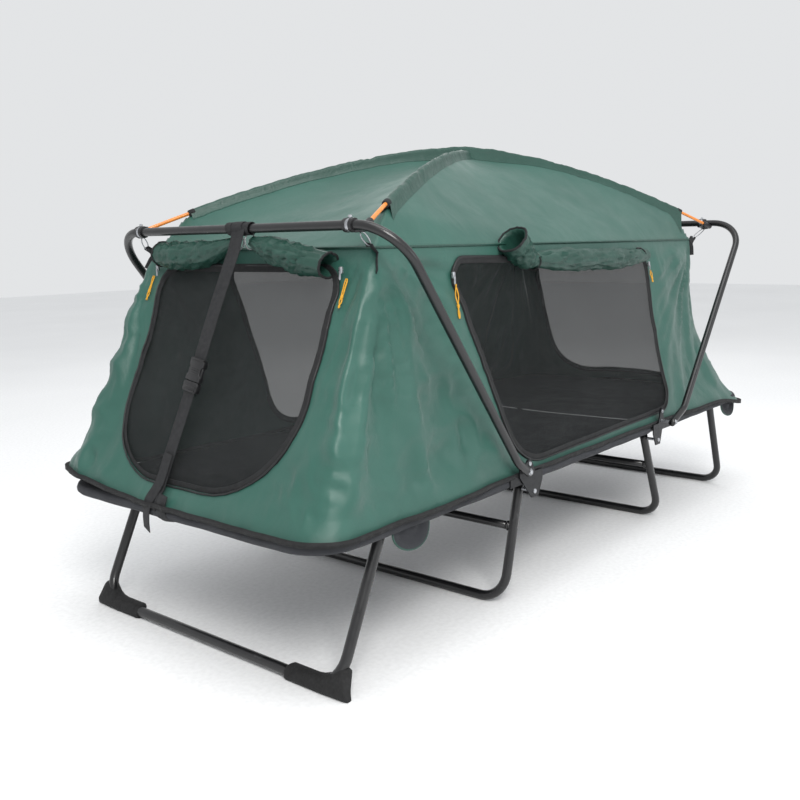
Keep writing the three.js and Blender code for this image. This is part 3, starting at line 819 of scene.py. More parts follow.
def build_canopy(materials):
    """The roof and four walls as one cloth, cut open at the doors and windows."""
    parts = []
    for wall in WALLS:
        loop = opening_loop(wall)
        s = np.linspace(-1, 1, COLUMNS[wall] + 1)
        w = np.linspace(0, 1, ROWS + 1)
        ss, ww = np.meshgrid(s, w)
        ss, ww = ss.ravel(), ww.ravel()
        if wall in ("foot", "head"):
            sign = -1 if wall == "foot" else 1
            q = ss * reach_y(ww, sign * reach_x(ww, wall))
        else:
            q = np.where(ss < 0, ss * reach_x(ww, "foot"), ss * reach_x(ww, "head"))
        h = (1 - ww) * SLOPES[wall]
        flat = np.stack([q, h], axis=1)
        spot, gap = nearest(flat, loop)
        edge = (np.abs(ss) < 0.999) & (ww > 0.001) & (ww < 0.999)
        snap = (gap < 0.0062) & edge
        flat[snap] = spot[snap]
        faces = grid_faces(ROWS + 1, COLUMNS[wall] + 1)
        middle = np.array([flat[list(f)].mean(axis=0) for f in faces])
        faces = [f for f, gone in zip(faces, inside_loop(middle, loop)) if not gone]
        if wall in ("foot", "far"):
            faces = [f[::-1] for f in faces]
        calm = EDGE_CALM * (1 - smooth(gap, 0, 0.08))
        parts.append((wall_point(wall, flat[:, 0], down(wall, flat[:, 1]), calm=calm), faces))
    uu, vv = np.meshgrid(np.linspace(-1, 1, COLUMNS["near"] + 1), np.linspace(-1, 1, COLUMNS["foot"] + 1))
    roof = roof_point(uu, vv).reshape(COLUMNS["foot"] + 1, COLUMNS["near"] + 1, 3)
    along_x = np.linspace(-1, 1, COLUMNS["near"] + 1)
    along_y = np.linspace(-1, 1, COLUMNS["foot"] + 1)
    top_x = np.where(along_x < 0, along_x * reach_x(0.0, "foot"), along_x * reach_x(0.0, "head"))
    roof[0] = wall_point("near", top_x, 0)
    roof[-1] = wall_point("far", top_x, 0)
    roof[:, 0] = wall_point("foot", along_y * reach_y(0.0, -TOP_FOOT), 0)
    roof[:, -1] = wall_point("head", along_y * reach_y(0.0, TOP_HEAD), 0)
    parts.append((roof.reshape(-1, 3), grid_faces(COLUMNS["foot"] + 1, COLUMNS["near"] + 1)))
    points, faces = merged(*parts)
    canopy = mesh_object("canopy_cloth", points, faces, materials["nylon"])
    bm = bmesh.new()
    bm.from_mesh(canopy.data)
    bmesh.ops.remove_doubles(bm, verts=bm.verts, dist=2e-4)
    loose = [v for v in bm.verts if not v.link_faces]
    bmesh.ops.delete(bm, geom=loose, context="VERTS")
    bmesh.ops.recalc_face_normals(bm, faces=bm.faces)
    bm.to_mesh(canopy.data)
    bm.free()
    for polygon in canopy.data.polygons:
        polygon.use_smooth = True
    made = hang(canopy,
                ("roof_canopy", "side_wall_near", "side_wall_far", "foot_wall", "head_wall"))
    for region, (flat, area) in canopy_cuts().items():
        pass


# ---- the flat cuts of the cloth, from the frame's measures alone ----
CELL = 0.008


def pattern_cells(wall, loop):
    """The cells of a wall's flat pattern, each one's part of the canopy, and which lie in the loop."""
    across = wall in ("foot", "head")
    hem = (HEM_Y, HEM_Y) if across else (HEM_X, HEM_X)
    top = (TOP_Y, TOP_Y) if across else (TOP_FOOT, TOP_HEAD)
    slope = SLOPES[wall]
    q, h = np.meshgrid(np.arange(CELL / 2 - hem[0], hem[1], CELL), np.arange(CELL / 2, slope, CELL))
    share = h / slope
    kept = (q > -hem[0] - (top[0] - hem[0]) * share) & (q < hem[1] + (top[1] - hem[1]) * share)
    cells = np.stack([q[kept], h[kept]], axis=1)
    share = cells[:, 1] / slope
    if across:
        sign, end_top = (-1, TOP_FOOT) if wall == "foot" else (1, TOP_HEAD)
        x = sign * (HEM_X + (end_top - HEM_X) * share)
    else:
        x = cells[:, 0]
    regions = np.array([region_of((a, 0, b)) for a, b in zip(x, HEM_Z + WALL_DROP * share)])
    return cells, regions, inside_loop(cells, loop)


def cut_size(cells):
    """The rectangle a flat pattern's cells fit in, and their area."""
    extent = np.ptp(cells, axis=0) + CELL
    return (float(extent[1]), float(extent[0])), len(cells) * CELL ** 2


def dome_cut(end):
    """One half of the roof laid flat: its run from seam to peak along and across the bed, and its area."""
    half = TOP_FOOT if end == "foot" else TOP_HEAD
    m = np.linspace(0, 1, 400)
    rise = np.diff(ridge_height(m))
    middle = (m[1:] + m[:-1]) / 2
    along = np.hypot(half * np.diff(m), rise)
    across = np.hypot(TOP_Y * np.diff(m), rise)
    area = np.sum(2 * middle * half * across) + np.sum(2 * middle * TOP_Y * along)
    return along.sum(), across.sum(), area


def canopy_cuts():
    """The flat cut of each part of the canopy: its walls less their openings, and its half of the roof."""
    areas = dict.fromkeys(REGIONS, 0.0)
    strips = []
    for wall in WALLS:
        cells, regions, opened = pattern_cells(wall, opening_loop(wall))
        for region in REGIONS:
            chosen = cells[(regions == region) & ~opened]
            areas[region] += len(chosen) * CELL ** 2
            if region == "center" and len(chosen):
                strips.append(cut_size(chosen)[0])
    cuts = {"center": ((sum(w for w, _ in strips), max(n for _, n in strips)), areas["center"])}
    for end in ENDS:
        along, across, area = dome_cut(end)
        cuts[end] = ((along + SLOPES[end], 2 * (across + SLOPES["near"])), areas[end] + area)
    return cuts


def screen(wall, material, name, replaced):
    """The net that fills a wall's opening."""
    loop = opening_loop(wall, grow=0.004)
    low, high = loop.min(axis=0), loop.max(axis=0)
    counts = [max(12, int(n)) for n in (high - low) / 0.0105]
    qq, hh = np.meshgrid(np.linspace(low[0], high[0], counts[0] + 1),
                         np.linspace(low[1], high[1], counts[1] + 1))
    flat = np.stack([qq.ravel(), hh.ravel()], axis=1)
    spot, gap = nearest(flat, loop)
    snap = gap < 0.0066
    flat[snap] = spot[snap]
    faces = grid_faces(counts[1] + 1, counts[0] + 1)
    middle = np.array([flat[list(f)].mean(axis=0) for f in faces])
    faces = [f for f, kept in zip(faces, inside_loop(middle, loop)) if kept]
    used = sorted({i for f in faces for i in f})
    index = {i: k for k, i in enumerate(used)}
    inner = smooth(gap, 0, 0.07)
    slump = 0.012 * inner * smooth(1 - (flat[:, 1] - low[1]) / (high[1] - low[1]), 0.3, 1)
    points = wall_point(wall, flat[:, 0], down(wall, flat[:, 1]), out=-0.0015 - 0.004 * inner + slump,
                        calm=EDGE_CALM)
    obj = mesh_object(name, points[used], [[index[i] for i in f] for f in faces], material)
    cells, regions, held = pattern_cells(wall, loop)
    for region, part in hang(obj, replaced).items():
        flat, area = cut_size(cells[held & (regions == region)])


def edge_line(wall, loop, out):
    """A loop on a wall, with the directions that point out of the cloth there."""
    points = wall_point(wall, loop[:, 0], down(wall, loop[:, 1]), out=out, calm=EDGE_CALM)
    lifted = wall_point(wall, loop[:, 0], down(wall, loop[:, 1]), out=out + 0.01, calm=EDGE_CALM)
    return points, unit(lifted - points)


def binding_and_zip(wall, materials):
    """The bound edge of an opening, and the zip that runs just outside it."""
    line, normals = edge_line(wall, opening_loop(wall, 0.008), 0.0016)
    tape = mesh_object(f"edge_binding_{wall}", *sweep(line, band(0.017, 0.0022), normals, closed=True),
                       materials["binding"])
    hang(tape)
    line, normals = edge_line(wall, opening_loop(wall, 0.0032, grow=0.0052), 0.0032)
    beads = np.where(np.arange(len(line)) % 2 == 0, 1.0, 0.62)
    coil = mesh_object(f"zip_chain_{wall}",
                       *sweep(line, circle(0.0027, 6, 0.8), normals, scale=beads, closed=True),
                       materials["zip"])
    hang(coil)


def trims(materials):
    """The black hem tape, and the seam welt between roof and walls, drawn in the darker green as a painted
    shadow along the seam.
    """
    hem, seam = [], []
    for wall in ("near", "head", "far", "foot"):
        s = np.linspace(-1, 1, 120 if wall in ("near", "far") else 60)[:-1]
        if wall in ("far", "foot"):
            s = -s
        for w, line in ((1.0, hem), (0.0, seam)):
            if wall in ("foot", "head"):
                q = s * reach_y(w, (-1 if wall == "foot" else 1) * reach_x(w, wall))
            else:
                q = np.where(s < 0, s * reach_x(w, "foot"), s * reach_x(w, "head"))
            points = wall_point(wall, q, w, out=0.001)
            outward = unit(wall_point(wall, q, w, out=0.02) - points)
            line.append(np.hstack([points, outward]))
    hem, seam = np.vstack(hem), np.vstack(seam)
    upright = hem[:, 3:] * [1, 1, 0] + [0, 0, 1e-6]
    tape = mesh_object("hem_tape", *sweep(hem[:, :3], band(0.003, 0.015)[::-1], upright,
                                          closed=True), materials["binding"])
    hang(tape)
    # the welt's darker green is a painted shadow along the roof-to-wall seam
    welt = mesh_object("seam_welt", *sweep(seam[:, :3], circle(0.0026, 8), seam[:, 3:], closed=True),
                       materials["nylon_painted_shade"])
    hang(welt)


# ---- poles and sleeves ----
def pole_line(pole, side, start, stop, count):
    """Points of one half of a pole, from start to stop of the way from the crossing to its end."""
    slant = 1 if pole == "a" else -1
    s = side * np.linspace(start, stop, count)
    z = POLE["z"] + POLE["rise"][pole] * (1 - np.abs(s) ** POLE["power"])
    return np.stack([s * POLE["x"], s * slant * POLE["y"], z], axis=1)


def lay_flanges(points, arch):
    """Lays a sleeve's flanges on the roof, each as wide as the cloth left over from going round the pole."""
    rings = points.reshape(-1, len(arch), 3)
    half = run_of(arch) / 2
    for tip, root, inner in ((0, 1, 2), (-1, -2, -3)):
        outward = unit((rings[:, tip] - rings[:, root]) * (1, 1, 0))
        rings[:, root, 2] = roof_level(rings[:, root]) + 0.0008
        drop = np.linalg.norm(rings[:, root] - rings[:, inner], axis=1)
        left = half - run_of(arch[2:6]) - drop
        rings[:, tip] = rings[:, root] + outward * np.maximum(left, 0.002)[:, None]
        rings[:, tip, 2] = roof_level(rings[:, tip]) + 0.0008
    return rings.reshape(-1, 3)


def poles_and_sleeves(materials):
    ups = (0, 0, 1)
    half = [(-0.021, -0.0085), (-0.0125, -0.0068), (-0.0085, -0.003), (-0.0075, 0.002), (-0.0045, 0.0058)]
    arch = [*half, (0, 0.0070), *((-across, up) for across, up in reversed(half))]
    for pole in ("a", "b"):
        for end, side in (("foot", -1), ("head", 1)):
            line = pole_line(pole, side, 0.0, 1.0, 48)
            rod = mesh_object(f"pole_{pole}_{end}", *sweep(line, circle(POLE_R, 14), np.tile(ups, (48, 1))),
                              materials["pole"])
            follow(rod, end, replaced=(f"canopy_pole_{pole}",))
            line = pole_line(pole, side, 0.0, SLEEVE_END, 90)
            line[:, 2] += 0.0012 * crease(line, 26, 31)
            points, faces = sweep(line, arch, np.tile(ups, (90, 1)), ring=False)
            lying = roof_level(points) + 0.0008
            wing = np.tile(np.abs(np.linspace(-1, 1, len(arch))), 90)
            points[:, 2] = np.maximum(points[:, 2], lying)
            points[:, 2] += 0.0009 * crease(points, 60, 33) * (wing < 0.75)
            points = lay_flanges(points, arch)
            # the sleeves take the darker green nylon: painted shade
            sleeve = mesh_object(f"pole_sleeve_{pole}_{end}", points, faces, materials["nylon_painted_shade"])
            follow(sleeve, end)
            run_of(arch)
            run_of(pole_line(pole, side, 0.0, SLEEVE_END, 90))
            tip = line[-1]
            ahead = unit(line[-1] - line[-3])
            cuff = lathe([(0, 0.0078), (0.1, 0.0086), (0.9, 0.0082), (1, 0.0066)], tip - ahead * 0.012,
                         tip + ahead * 0.004, 18)
            follow(mesh_object(f"sleeve_cuff_{pole}_{end}", *cuff, materials["binding"]), end)


# ---- rolled-up flaps ----
def rolled(name, line, radii, material, seed, squash_by=0.85, open_at="end"):
    """A rolled flap: a crumpled tube of cloth with a hollow, turned-in mouth at one end."""
    line = flowing(line, 10)
    t = np.linspace(0, 1, len(line))
    radius = np.interp(t, np.linspace(0, 1, len(radii)), radii)
    if open_at == "start":
        line, radius = line[::-1], radius[::-1]
    normals = carried(line, (0, 0, 1))
    along = tangents(line)
    sides = 36
    turn = np.linspace(0, 2 * math.pi, sides, endpoint=False)
    rings = []
    for i, p in enumerate(line):
        side = np.cross(along[i], normals[i])
        ring = p + radius[i] * (np.cos(turn)[:, None] * side + squash_by * np.sin(turn)[:, None] * normals[i])
        rings.append(ring)
    rings = np.array(rings)
    flat = rings.reshape(-1, 3)
    centre = np.repeat(line, sides, axis=0)
    outward = unit(flat - centre)
    twist = flat + outward * 0.2 * seed
    size = np.repeat(radius, sides)[:, None]
    ruffle = 0.17 * crease(twist, 22, seed) + 0.08 * crease(twist, 55, seed + 1)
    ruffle *= np.repeat(1 - 0.7 * smooth(t, 0.75, 0.95), sides)
    flat = flat + outward * size * ruffle[:, None]
    rings = flat.reshape(len(line), sides, 3)
    mouth = rings[-1].mean(axis=0)
    inner = [mouth + (rings[-1] - mouth) * k - along[-1] * d for k, d in
             ((0.93, -0.001), (0.84, 0.001), (0.78, 0.012), (0.66, 0.045), (0.40, 0.065))]
    start = rings[0].mean(axis=0)
    closed_start = [start + (rings[0] - start) * k for k in (0.45, 0.85)]
    every = np.concatenate([closed_start, rings, inner]).reshape(-1, 3)
    count = 2 + len(line) + len(inner)
    faces = grid_faces(count, sides, wrap=True)
    faces.append(tuple(range(sides - 1, -1, -1)))
    faces.append(tuple((count - 1) * sides + j for j in range(sides)))
    lip = rings[-1] + along[-1] * 0.001
    return mesh_object(name, every, faces, material), lip


def lip_binding(name, lip, material):
    return mesh_object(name, *sweep(lip, circle(0.0026, 8), closed=True), material)


def toggle_tie(name, centre, across, size, cord, toggle, region):
    """A cord loop round a roll, with its small toggle."""
    across = unit(across)
    up = np.array((0, 0, 1.0))
    out = unit(np.cross(across, up))
    turn = np.linspace(0, 2 * math.pi, 28, endpoint=False)
    ring = np.array(centre) + size[0] * np.cos(turn)[:, None] * out + size[1] * np.sin(turn)[:, None] * up
    follow(mesh_object(f"{name}_loop", *sweep(ring, circle(0.0017, 8), closed=True), cord), region)
    bar = lathe([(0, 0.002), (0.08, 0.0034), (0.5, 0.0026), (0.92, 0.0034), (1, 0.002)],
                ring[7] - across * 0.013, ring[7] + across * 0.013, 14)
    follow(mesh_object(f"{name}_bar", *bar, toggle), region)


def door_rolls(end, materials):
    """The door flap rolled up below the bow bar, gathered at its middle into two lobes."""
    sign = ENDS[end]["sign"]
    face = reach_x(0.06, end)
    x0 = sign * (face + 0.024)
    lobes = {
        "far": ([(x0 - sign * 0.006, 0.262, 0.814), (x0 - sign * 0.004, 0.20, 0.810),
                 (x0 - sign * 0.002, 0.10, 0.816), (x0, 0.004, 0.838)], [0.030, 0.033, 0.028, 0.011]),
        "near": ([(x0, -0.046, 0.838), (x0 + sign * 0.004, -0.110, 0.820),
                  (x0 + sign * 0.004, -0.185, 0.802), (x0, -0.256, 0.790)], [0.011, 0.027, 0.031, 0.028]),
    }
    for side, (line, radii) in lobes.items():
        # the door rolls take the darker green nylon: painted shade
        roll, lip = rolled(f"door_roll_{end}_{side}", line, radii, materials["nylon_painted_shade"],
                           41 if side == "near" else 43, open_at="end" if side == "near" else "start")
        follow(roll, end)
        follow(lip_binding(f"door_roll_lip_{end}_{side}", lip, materials["binding"]), end)
    for k, y in enumerate((-0.002, -0.038)):
        toggle_tie(f"door_tie_{end}_{k}", (x0, y, 0.838), (0, 1, 0), (0.014, 0.016), materials["tie"],
                   materials["plastic"], end)


def window_rolls(side, materials):
    """The window flap rolled up under the roof seam; its front end stands up out of its tie."""
    sy = SIDES[side]
    y = sy * (reach_y(0.06, 0.0) + 0.022)
    tie_x = -0.262
    line = [(tie_x + 0.01, y, 0.786), (-0.12, y * 1.004, 0.782), (0.06, y, 0.779), (0.22, y * 0.985, 0.778),
            (0.352, y * 0.955, 0.782)]
    # the window rolls take the darker green nylon: painted shade
    roll, _ = rolled(f"window_roll_{side}", line, [0.017, 0.029, 0.027, 0.029, 0.024, 0.021],
                     materials["nylon_painted_shade"], 51 if sy < 0 else 53)
    hang(roll)
    end = [(tie_x + 0.006, y, 0.786), (tie_x - 0.030, y + sy * 0.004, 0.790),
           (tie_x - 0.062, y + sy * 0.006, 0.806), (tie_x - 0.092, y + sy * 0.004, 0.832)]
    stub, lip = rolled(f"window_roll_end_{side}", end, [0.014, 0.022, 0.029, 0.034],
                       materials["nylon_painted_shade"], 57, squash_by=1.0)
    follow(stub, "foot")
    follow(lip_binding(f"window_roll_lip_{side}", lip, materials["binding"]), "foot")
    for k, (x, at_y, radius) in enumerate(((tie_x, y, 0.0215), (0.318, y * 0.963, 0.0215))):
        region = region_of((x, y, 0.79))
        toggle_tie(f"window_tie_{side}_{k}", (x, at_y, 0.782), (1, 0, 0), (radius, radius * 0.9),
                   materials["binding"], materials["plastic"], region)


# ---- zip sliders and pulls ----
def slider(name, place, outward, materials, region):
    place, outward = np.array(place, float), unit(outward)
    body = placed(block(box_outline(0.009, 0.014, 0.002), 0.005, 0.0008), np.cross((0, 0, 1.0), outward),
                  (0, 0, 1.0), place + outward * 0.004)
    tab = placed(block(box_outline(0.005, 0.017, 0.0016), 0.0014, 0.0004), np.cross((0, 0, 1.0), outward),
                 (0, 0, 1.0), place + outward * 0.0078 - np.array((0, 0, 0.011)))
    follow(mesh_object(name, *merged(body, tab), materials["zinc"]), region)


def pull_cord(name, top, bottom, outward, material):
    """A doubled cord through the slider's tab, knotted near its end."""
    top, bottom, outward = (np.array(v, float) for v in (top, bottom, outward))
    along = unit(bottom - top)
    side = np.cross(along, unit(outward))
    t = np.linspace(0, 1, 26)[:, None]
    spread = 0.0033 * np.sin(math.pi * np.clip(t / 0.66, 0, 1)) ** 0.8 + 0.0022 * np.sin(
        math.pi * np.clip((t - 0.66) / 0.34, 0, 1))
    strands = []
    for k in (-1, 1):
        path = top + (bottom - top) * t + k * spread * side + k * 0.0012 * unit(outward) * np.cos(9 * t)
        strands.append(sweep(path, circle(0.00135, 8)))
    knot_at = top + (bottom - top) * 0.66
    knot = lathe([(0, 0.001), (0.15, 0.0026), (0.4, 0.0034), (0.62, 0.0029), (0.85, 0.0025), (1, 0.001)],
                 knot_at - along * 0.005, knot_at + along * 0.005, 14)
    tail = lathe([(0, 0.0012), (0.3, 0.0022), (0.8, 0.0024), (1, 0.0013)], bottom - along * 0.004,
                 bottom + along * 0.003, 14)
    return mesh_object(name, *merged(*strands, knot, tail), material)


def door_pulls(materials):
    outward = np.array((-1.0, 0, 0.44))
    for side, sy in SIDES.items():
        low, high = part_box(f"zip_pull_{side}")
        x_top, x_bottom = high.x - 0.003, low.x + 0.003
        top, bottom = (x_top, sy * 0.300, high.z - 0.002), (x_bottom, sy * 0.300, low.z + 0.006)
        cord = pull_cord(f"zip_cord_{side}", top, bottom, outward, materials["cord"])
        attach(cord, f"zip_pull_{side}")
        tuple(REGIONS["foot"]["axis"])
        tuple(REGIONS["foot"]["anchor"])
        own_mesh(cord)
        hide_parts(f"zip_pull_{side}")
        place = wall_point("foot", [sy * 0.287], [0.085])[0] + np.array((-0.003, 0, 0))
        slider(f"zip_slider_{side}", place, outward, materials, "foot")
    for side, sy in SIDES.items():
        for k, (x, w) in enumerate(((-0.553, 0.12), (0.384, 0.13))):
            spot = wall_point(side, [x], [w], out=0.004)[0]
            region = region_of(spot)
            outward_side = np.array((0, sy, 0.12))
            slider(f"window_slider_{side}_{k}", spot, outward_side, materials, region)
            top = spot + np.array((0.001, sy * 0.009, -0.018))
            length = 0.068 if k == 0 else 0.030
            cord = pull_cord(f"window_cord_{side}_{k}", top, top + np.array((0.004, sy * 0.006, -length)),
                             outward_side, materials["cord"])
            follow(cord, region)


# ---- strap and buckle ----
def strap_frame():
    """Across, down and outward directions of the strap over the door, and its length."""
    run = STRAP_BOTTOM - STRAP_TOP
    along = unit(run)
    across = unit(np.array((0, 1, 0)) - along[1] * along)
    return across, along, np.cross(across, along), run.length


def strap_piece(name, path, normals, width, materials, replaced=()):
    tape = mesh_object(name, *sweep(path, band(width, 0.0020), normals), materials["webbing"])
    follow(tape, "foot", replaced=replaced)
    return tape


def strap(materials):
    across, along, outward, length = strap_frame()
    top = np.array(STRAP_TOP)
    bar = np.array((-ENDS["foot"]["bow_top"][0], 0, ENDS["foot"]["bow_top"][1]))
    at = lambda d, out=0.0: top + along * d + outward * out
    # upper run: over the bar, down the front, into the buckle
    wrap = []
    radius = BOW_R + 0.0022
    for turn in np.linspace(-50, 178, 16):
        a = math.radians(turn)
        wrap.append(bar + np.array((radius * math.cos(a), top[1] - 0.002, radius * math.sin(a))))
    lead = [at(d, 0.0012 + 0.002 * math.sin(d * 12)) for d in np.linspace(0.030, BUCKLE_START + 0.006, 14)]
    path = resampled(np.array(wrap + lead), 0.006)
    strap_piece("strap_run_upper", path, carried(path, (0, 0, -1)), STRAP_W, materials, ("strap_upper",))
    for k, (y, width, lift, lean) in enumerate(((-0.020, 0.030, 0.0042, 0.10), (-0.045, 0.016, 0.0030, -0.16),
                                                (0.006, 0.018, 0.0034, 0.22))):
        turn = np.linspace(0, 2 * math.pi, 40, endpoint=False)
        r = BOW_R + lift
        ring = np.stack([bar[0] + r * np.cos(turn), y + lean * r * np.sin(turn),
                         bar[2] + r * np.sin(turn)], axis=1)
        out = np.stack([np.cos(turn), 0 * turn, np.sin(turn)], axis=1)
        loop = mesh_object(f"strap_wrap_{k}", *sweep(ring, band(width, 0.0018), out, closed=True),
                           materials["webbing"])
        follow(loop, "foot")
    # lower run: from the buckle's tongue down to the hem, then the loose tail
    start = BUCKLE_START + 0.060
    lower = [at(d, 0.0014) for d in np.linspace(start, length - 0.012, 14)]
    hem = [np.array(p) for p in ((-1.021, 0.060, 0.334), (-1.026, 0.066, 0.318), (-1.024, 0.070, 0.302),
                                 (-1.012, 0.071, 0.287), (-0.992, 0.070, 0.284))]
    path = resampled(flowing(np.array(lower[::3] + [lower[-1]] + hem), 6), 0.006)
    strap_piece("strap_run_lower", path, carried(path, outward), STRAP_W * 0.9, materials, ("strap_lower",))
    tail = flowing([at(start + 0.150, 0.0044), at(length - 0.080, 0.0046), at(length - 0.02, 0.0052),
                    (-1.029, 0.074, 0.318), (-1.027, 0.086, 0.285), (-1.020, 0.096, 0.254)], 7)
    strap_piece("strap_tail", tail, carried(tail, outward), STRAP_W * 0.72, materials)
    anchor = flowing([(-1.024, 0.026, 0.340), (-1.029, 0.030, 0.318), (-1.026, 0.030, 0.294),
                      (-1.010, 0.028, 0.281), (-0.990, 0.026, 0.284)], 6)
    strap_piece("strap_anchor", anchor, carried(anchor, (-1, 0, 0)), 0.026, materials)


def buckle(materials):
    across, along, outward, _ = strap_frame()
    top = np.array(STRAP_TOP)

    def at(part, d, a=0.0, out=0.0):
        return placed(part, across, along, top + along * (BUCKLE_START + d) + across * a + outward * out)

    shell = [(-0.0185, 0.0), (0.0185, 0.0), (0.0225, 0.005), (0.0225, 0.014), (0.0165, 0.018),
             (0.0165, 0.031),
             (0.0225, 0.035), (0.0225, 0.046), (-0.0225, 0.046), (-0.0225, 0.035), (-0.0165, 0.031),
             (-0.0165, 0.018), (-0.0225, 0.014), (-0.0225, 0.005)]
    ridge = box_outline(0.026, 0.0022)
    housing = [at(block(shell, 0.0115, 0.0016), 0)]
    housing += [at(block(ridge, 0.002, 0.0006), 0.021 + 0.0045 * k, out=0.0058) for k in range(3)]
    housing += [at(block(box_outline(0.040, 0.004), 0.006, 0.001), 0.001, out=0.0048)]
    female = mesh_object("buckle_shell", *merged(*housing), materials["plastic"])
    follow(female, "foot", replaced=("buckle_housing",))
    prong = [(-0.0025, -0.031), (0.0005, -0.033), (0.003, -0.026), (0.0032, -0.010), (0.0015, 0.0),
             (-0.0025, 0.0)]
    parts = [at(block(box_outline(0.045, 0.022, 0.003), 0.0112, 0.0014), 0.0582)]
    for k in (-1, 1):
        arm = [(k * x, y) for x, y in prong]
        parts.append(at(block(arm[::k], 0.006, 0.0008), 0.047, a=k * 0.0196))
    parts.append(at(block(box_outline(0.038, 0.0035), 0.006, 0.001), 0.0655, out=0.0050))
    parts.append(at(block(box_outline(0.038, 0.0035), 0.006, 0.001), 0.0570, out=0.0050))
    male = mesh_object("buckle_clip", *merged(*parts), materials["plastic"])
    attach(male, "buckle_insert")
    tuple(REGIONS["foot"]["axis"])
    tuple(REGIONS["foot"]["anchor"])
    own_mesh(male)
    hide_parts("buckle_insert")


# ---- steel ----
def steel_tube(name, corners, radii, radius, material, body, replaced, extra=()):
    path = resampled(rounded(corners, radii, steps=12), 0.012)
    part = sweep(path, circle(radius, 24), carried(path, (1, 0, 0.3)))
    obj = mesh_object(name, *merged(part, *extra), material)
    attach(obj, body)
    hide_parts(*replaced)
    return obj


def steelwork(materials):
    steel = materials["steel"]
    reach = HINGE_X - RAIL_STOP
    for side, sy in SIDES.items():
        y = sy * RAIL_Y
        steel_tube(f"rail_center_{side}", [(-reach, y, RAIL_Z), (reach, y, RAIL_Z)], 0, TUBE_R, steel,
                   "center_frame", (f"center_rail_{side}",))
    for end, data in ENDS.items():
        sign = data["sign"]
        start = sign * (HINGE_X + RAIL_STOP)
        tip = sign * SECTION_END_X
        ring = [(start, -RAIL_Y, RAIL_Z), (tip, -RAIL_Y, RAIL_Z), (tip, RAIL_Y, RAIL_Z),
                (start, RAIL_Y, RAIL_Z)]
        steel_tube(f"rail_{end}", ring, RAIL_CORNER_R, TUBE_R, steel, f"{end}_section",
                   (f"{end}_section_rail",))
        leg(f"leg_{end}", sign, data["leg_top"], data["leg_floor"], False, steel, f"{end}_end_leg",
            f"{end}_end_leg")
        leg(f"leg_{end}_middle", sign, data["mid_top"], data["mid_floor"], True, steel, f"{end}_mid_leg",
            f"{end}_mid_leg")
        bow(end, data, steel)


def leg(name, sign, top, floor, with_bar, material, body, node):
    top, floor = np.array(top), np.array(floor)
    along = unit(floor - top)
    head = top - along * 0.009
    corners = [(sign * head[0], -LEG_Y, head[1]), (sign * floor[0], -LEG_Y, floor[1]),
               (sign * floor[0], LEG_Y, floor[1]), (sign * head[0], LEG_Y, head[1])]
    extra = []
    if with_bar:
        share = (CROSSBAR_Z - top[1]) / (floor[1] - top[1])
        x = sign * (top[0] + (floor[0] - top[0]) * share)
        ends = np.array([(x, y, CROSSBAR_Z) for y in np.linspace(-LEG_Y, LEG_Y, 12)])
        extra.append(sweep(ends, circle(BOW_R, 20)))
        for sy in (-1, 1):
            weld = lathe([(0, 0.0102), (0.4, 0.0118), (0.75, 0.0124), (1, 0.0108)],
                         (x, sy * (LEG_Y - TUBE_R - 0.006), CROSSBAR_Z),
                         (x, sy * (LEG_Y - TUBE_R + 0.002), CROSSBAR_Z))
            extra.append(weld)
    steel_tube(name, corners, LEG_CORNER_R, TUBE_R, material, body, (node,), extra=extra)


def bow(end, data, material):
    sign, y = data["sign"], data["bow_y"]
    pivot, knee, top = (np.array(data[k]) for k in ("bow_pivot", "knee", "bow_top"))
    first = pivot + unit(pivot - knee) * 0.009
    at = lambda p, side: (sign * p[0], side * y, p[1])
    corners = [at(first, -1), at(knee, -1), at(top, -1), at(top, 1), at(knee, 1), at(first, 1)]
    radii = [0, BOW_KNEE_R, BOW_CORNER_R, BOW_CORNER_R, BOW_KNEE_R, 0]
    steel_tube(f"bow_tube_{end}", corners, radii, BOW_R, material, f"{end}_bow", (f"{end}_bow",))


def bolt(name, node, body, materials):
    """A domed bolt standing for a plain pin of the frame."""
    low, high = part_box(node)
    centre = (low + high) / 2
    side = 1 if centre.y > 0 else -1
    inner, outer = (low.y, high.y) if side > 0 else (high.y, low.y)
    run = abs(outer - inner)
    head = (high.z - low.z) / 2
    shank = min(0.004, head * 0.6)
    cap = min(0.004, run * 0.3) / run
    washer = [(0, shank), (1 - cap * 1.5, shank), (1 - cap * 1.5, head), (1 - cap * 1.1, head),
              (1 - cap * 1.08, head * 0.78), (1 - cap * 0.3, head * 0.70), (1 - cap * 0.05, head * 0.45),
              (1, head * 0.12)]
    part = lathe(washer, (centre.x, inner, centre.z), (centre.x, outer, centre.z), 24)
    obj = mesh_object(name, *part, materials["zinc"])
    obj.data.set_sharp_from_angle(angle=math.radians(38))
    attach(obj, body)
    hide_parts(node)


def brackets(materials):
    for end in ENDS:
        for side in SIDES:
            for node in (f"bracket_plate_{end}_{side}", f"section_link_{end}_{side}"):
                obj = frame["nodes"][node]
                obj.data.materials.clear()
                obj.data.materials.append(materials["plate"])
                bevel = obj.modifiers.new("softened edges", "BEVEL")
                bevel.width = 0.0007
                bevel.segments = 2
            for pin, body in (("fold_pin", "center_frame"), ("mid_leg_pin", "center_frame"),
                              ("bow_pin", "center_frame"), ("end_leg_pin", f"{end}_section")):
                bolt(f"{pin}_bolt_{end}_{side}", f"{pin}_{end}_{side}", body, materials)


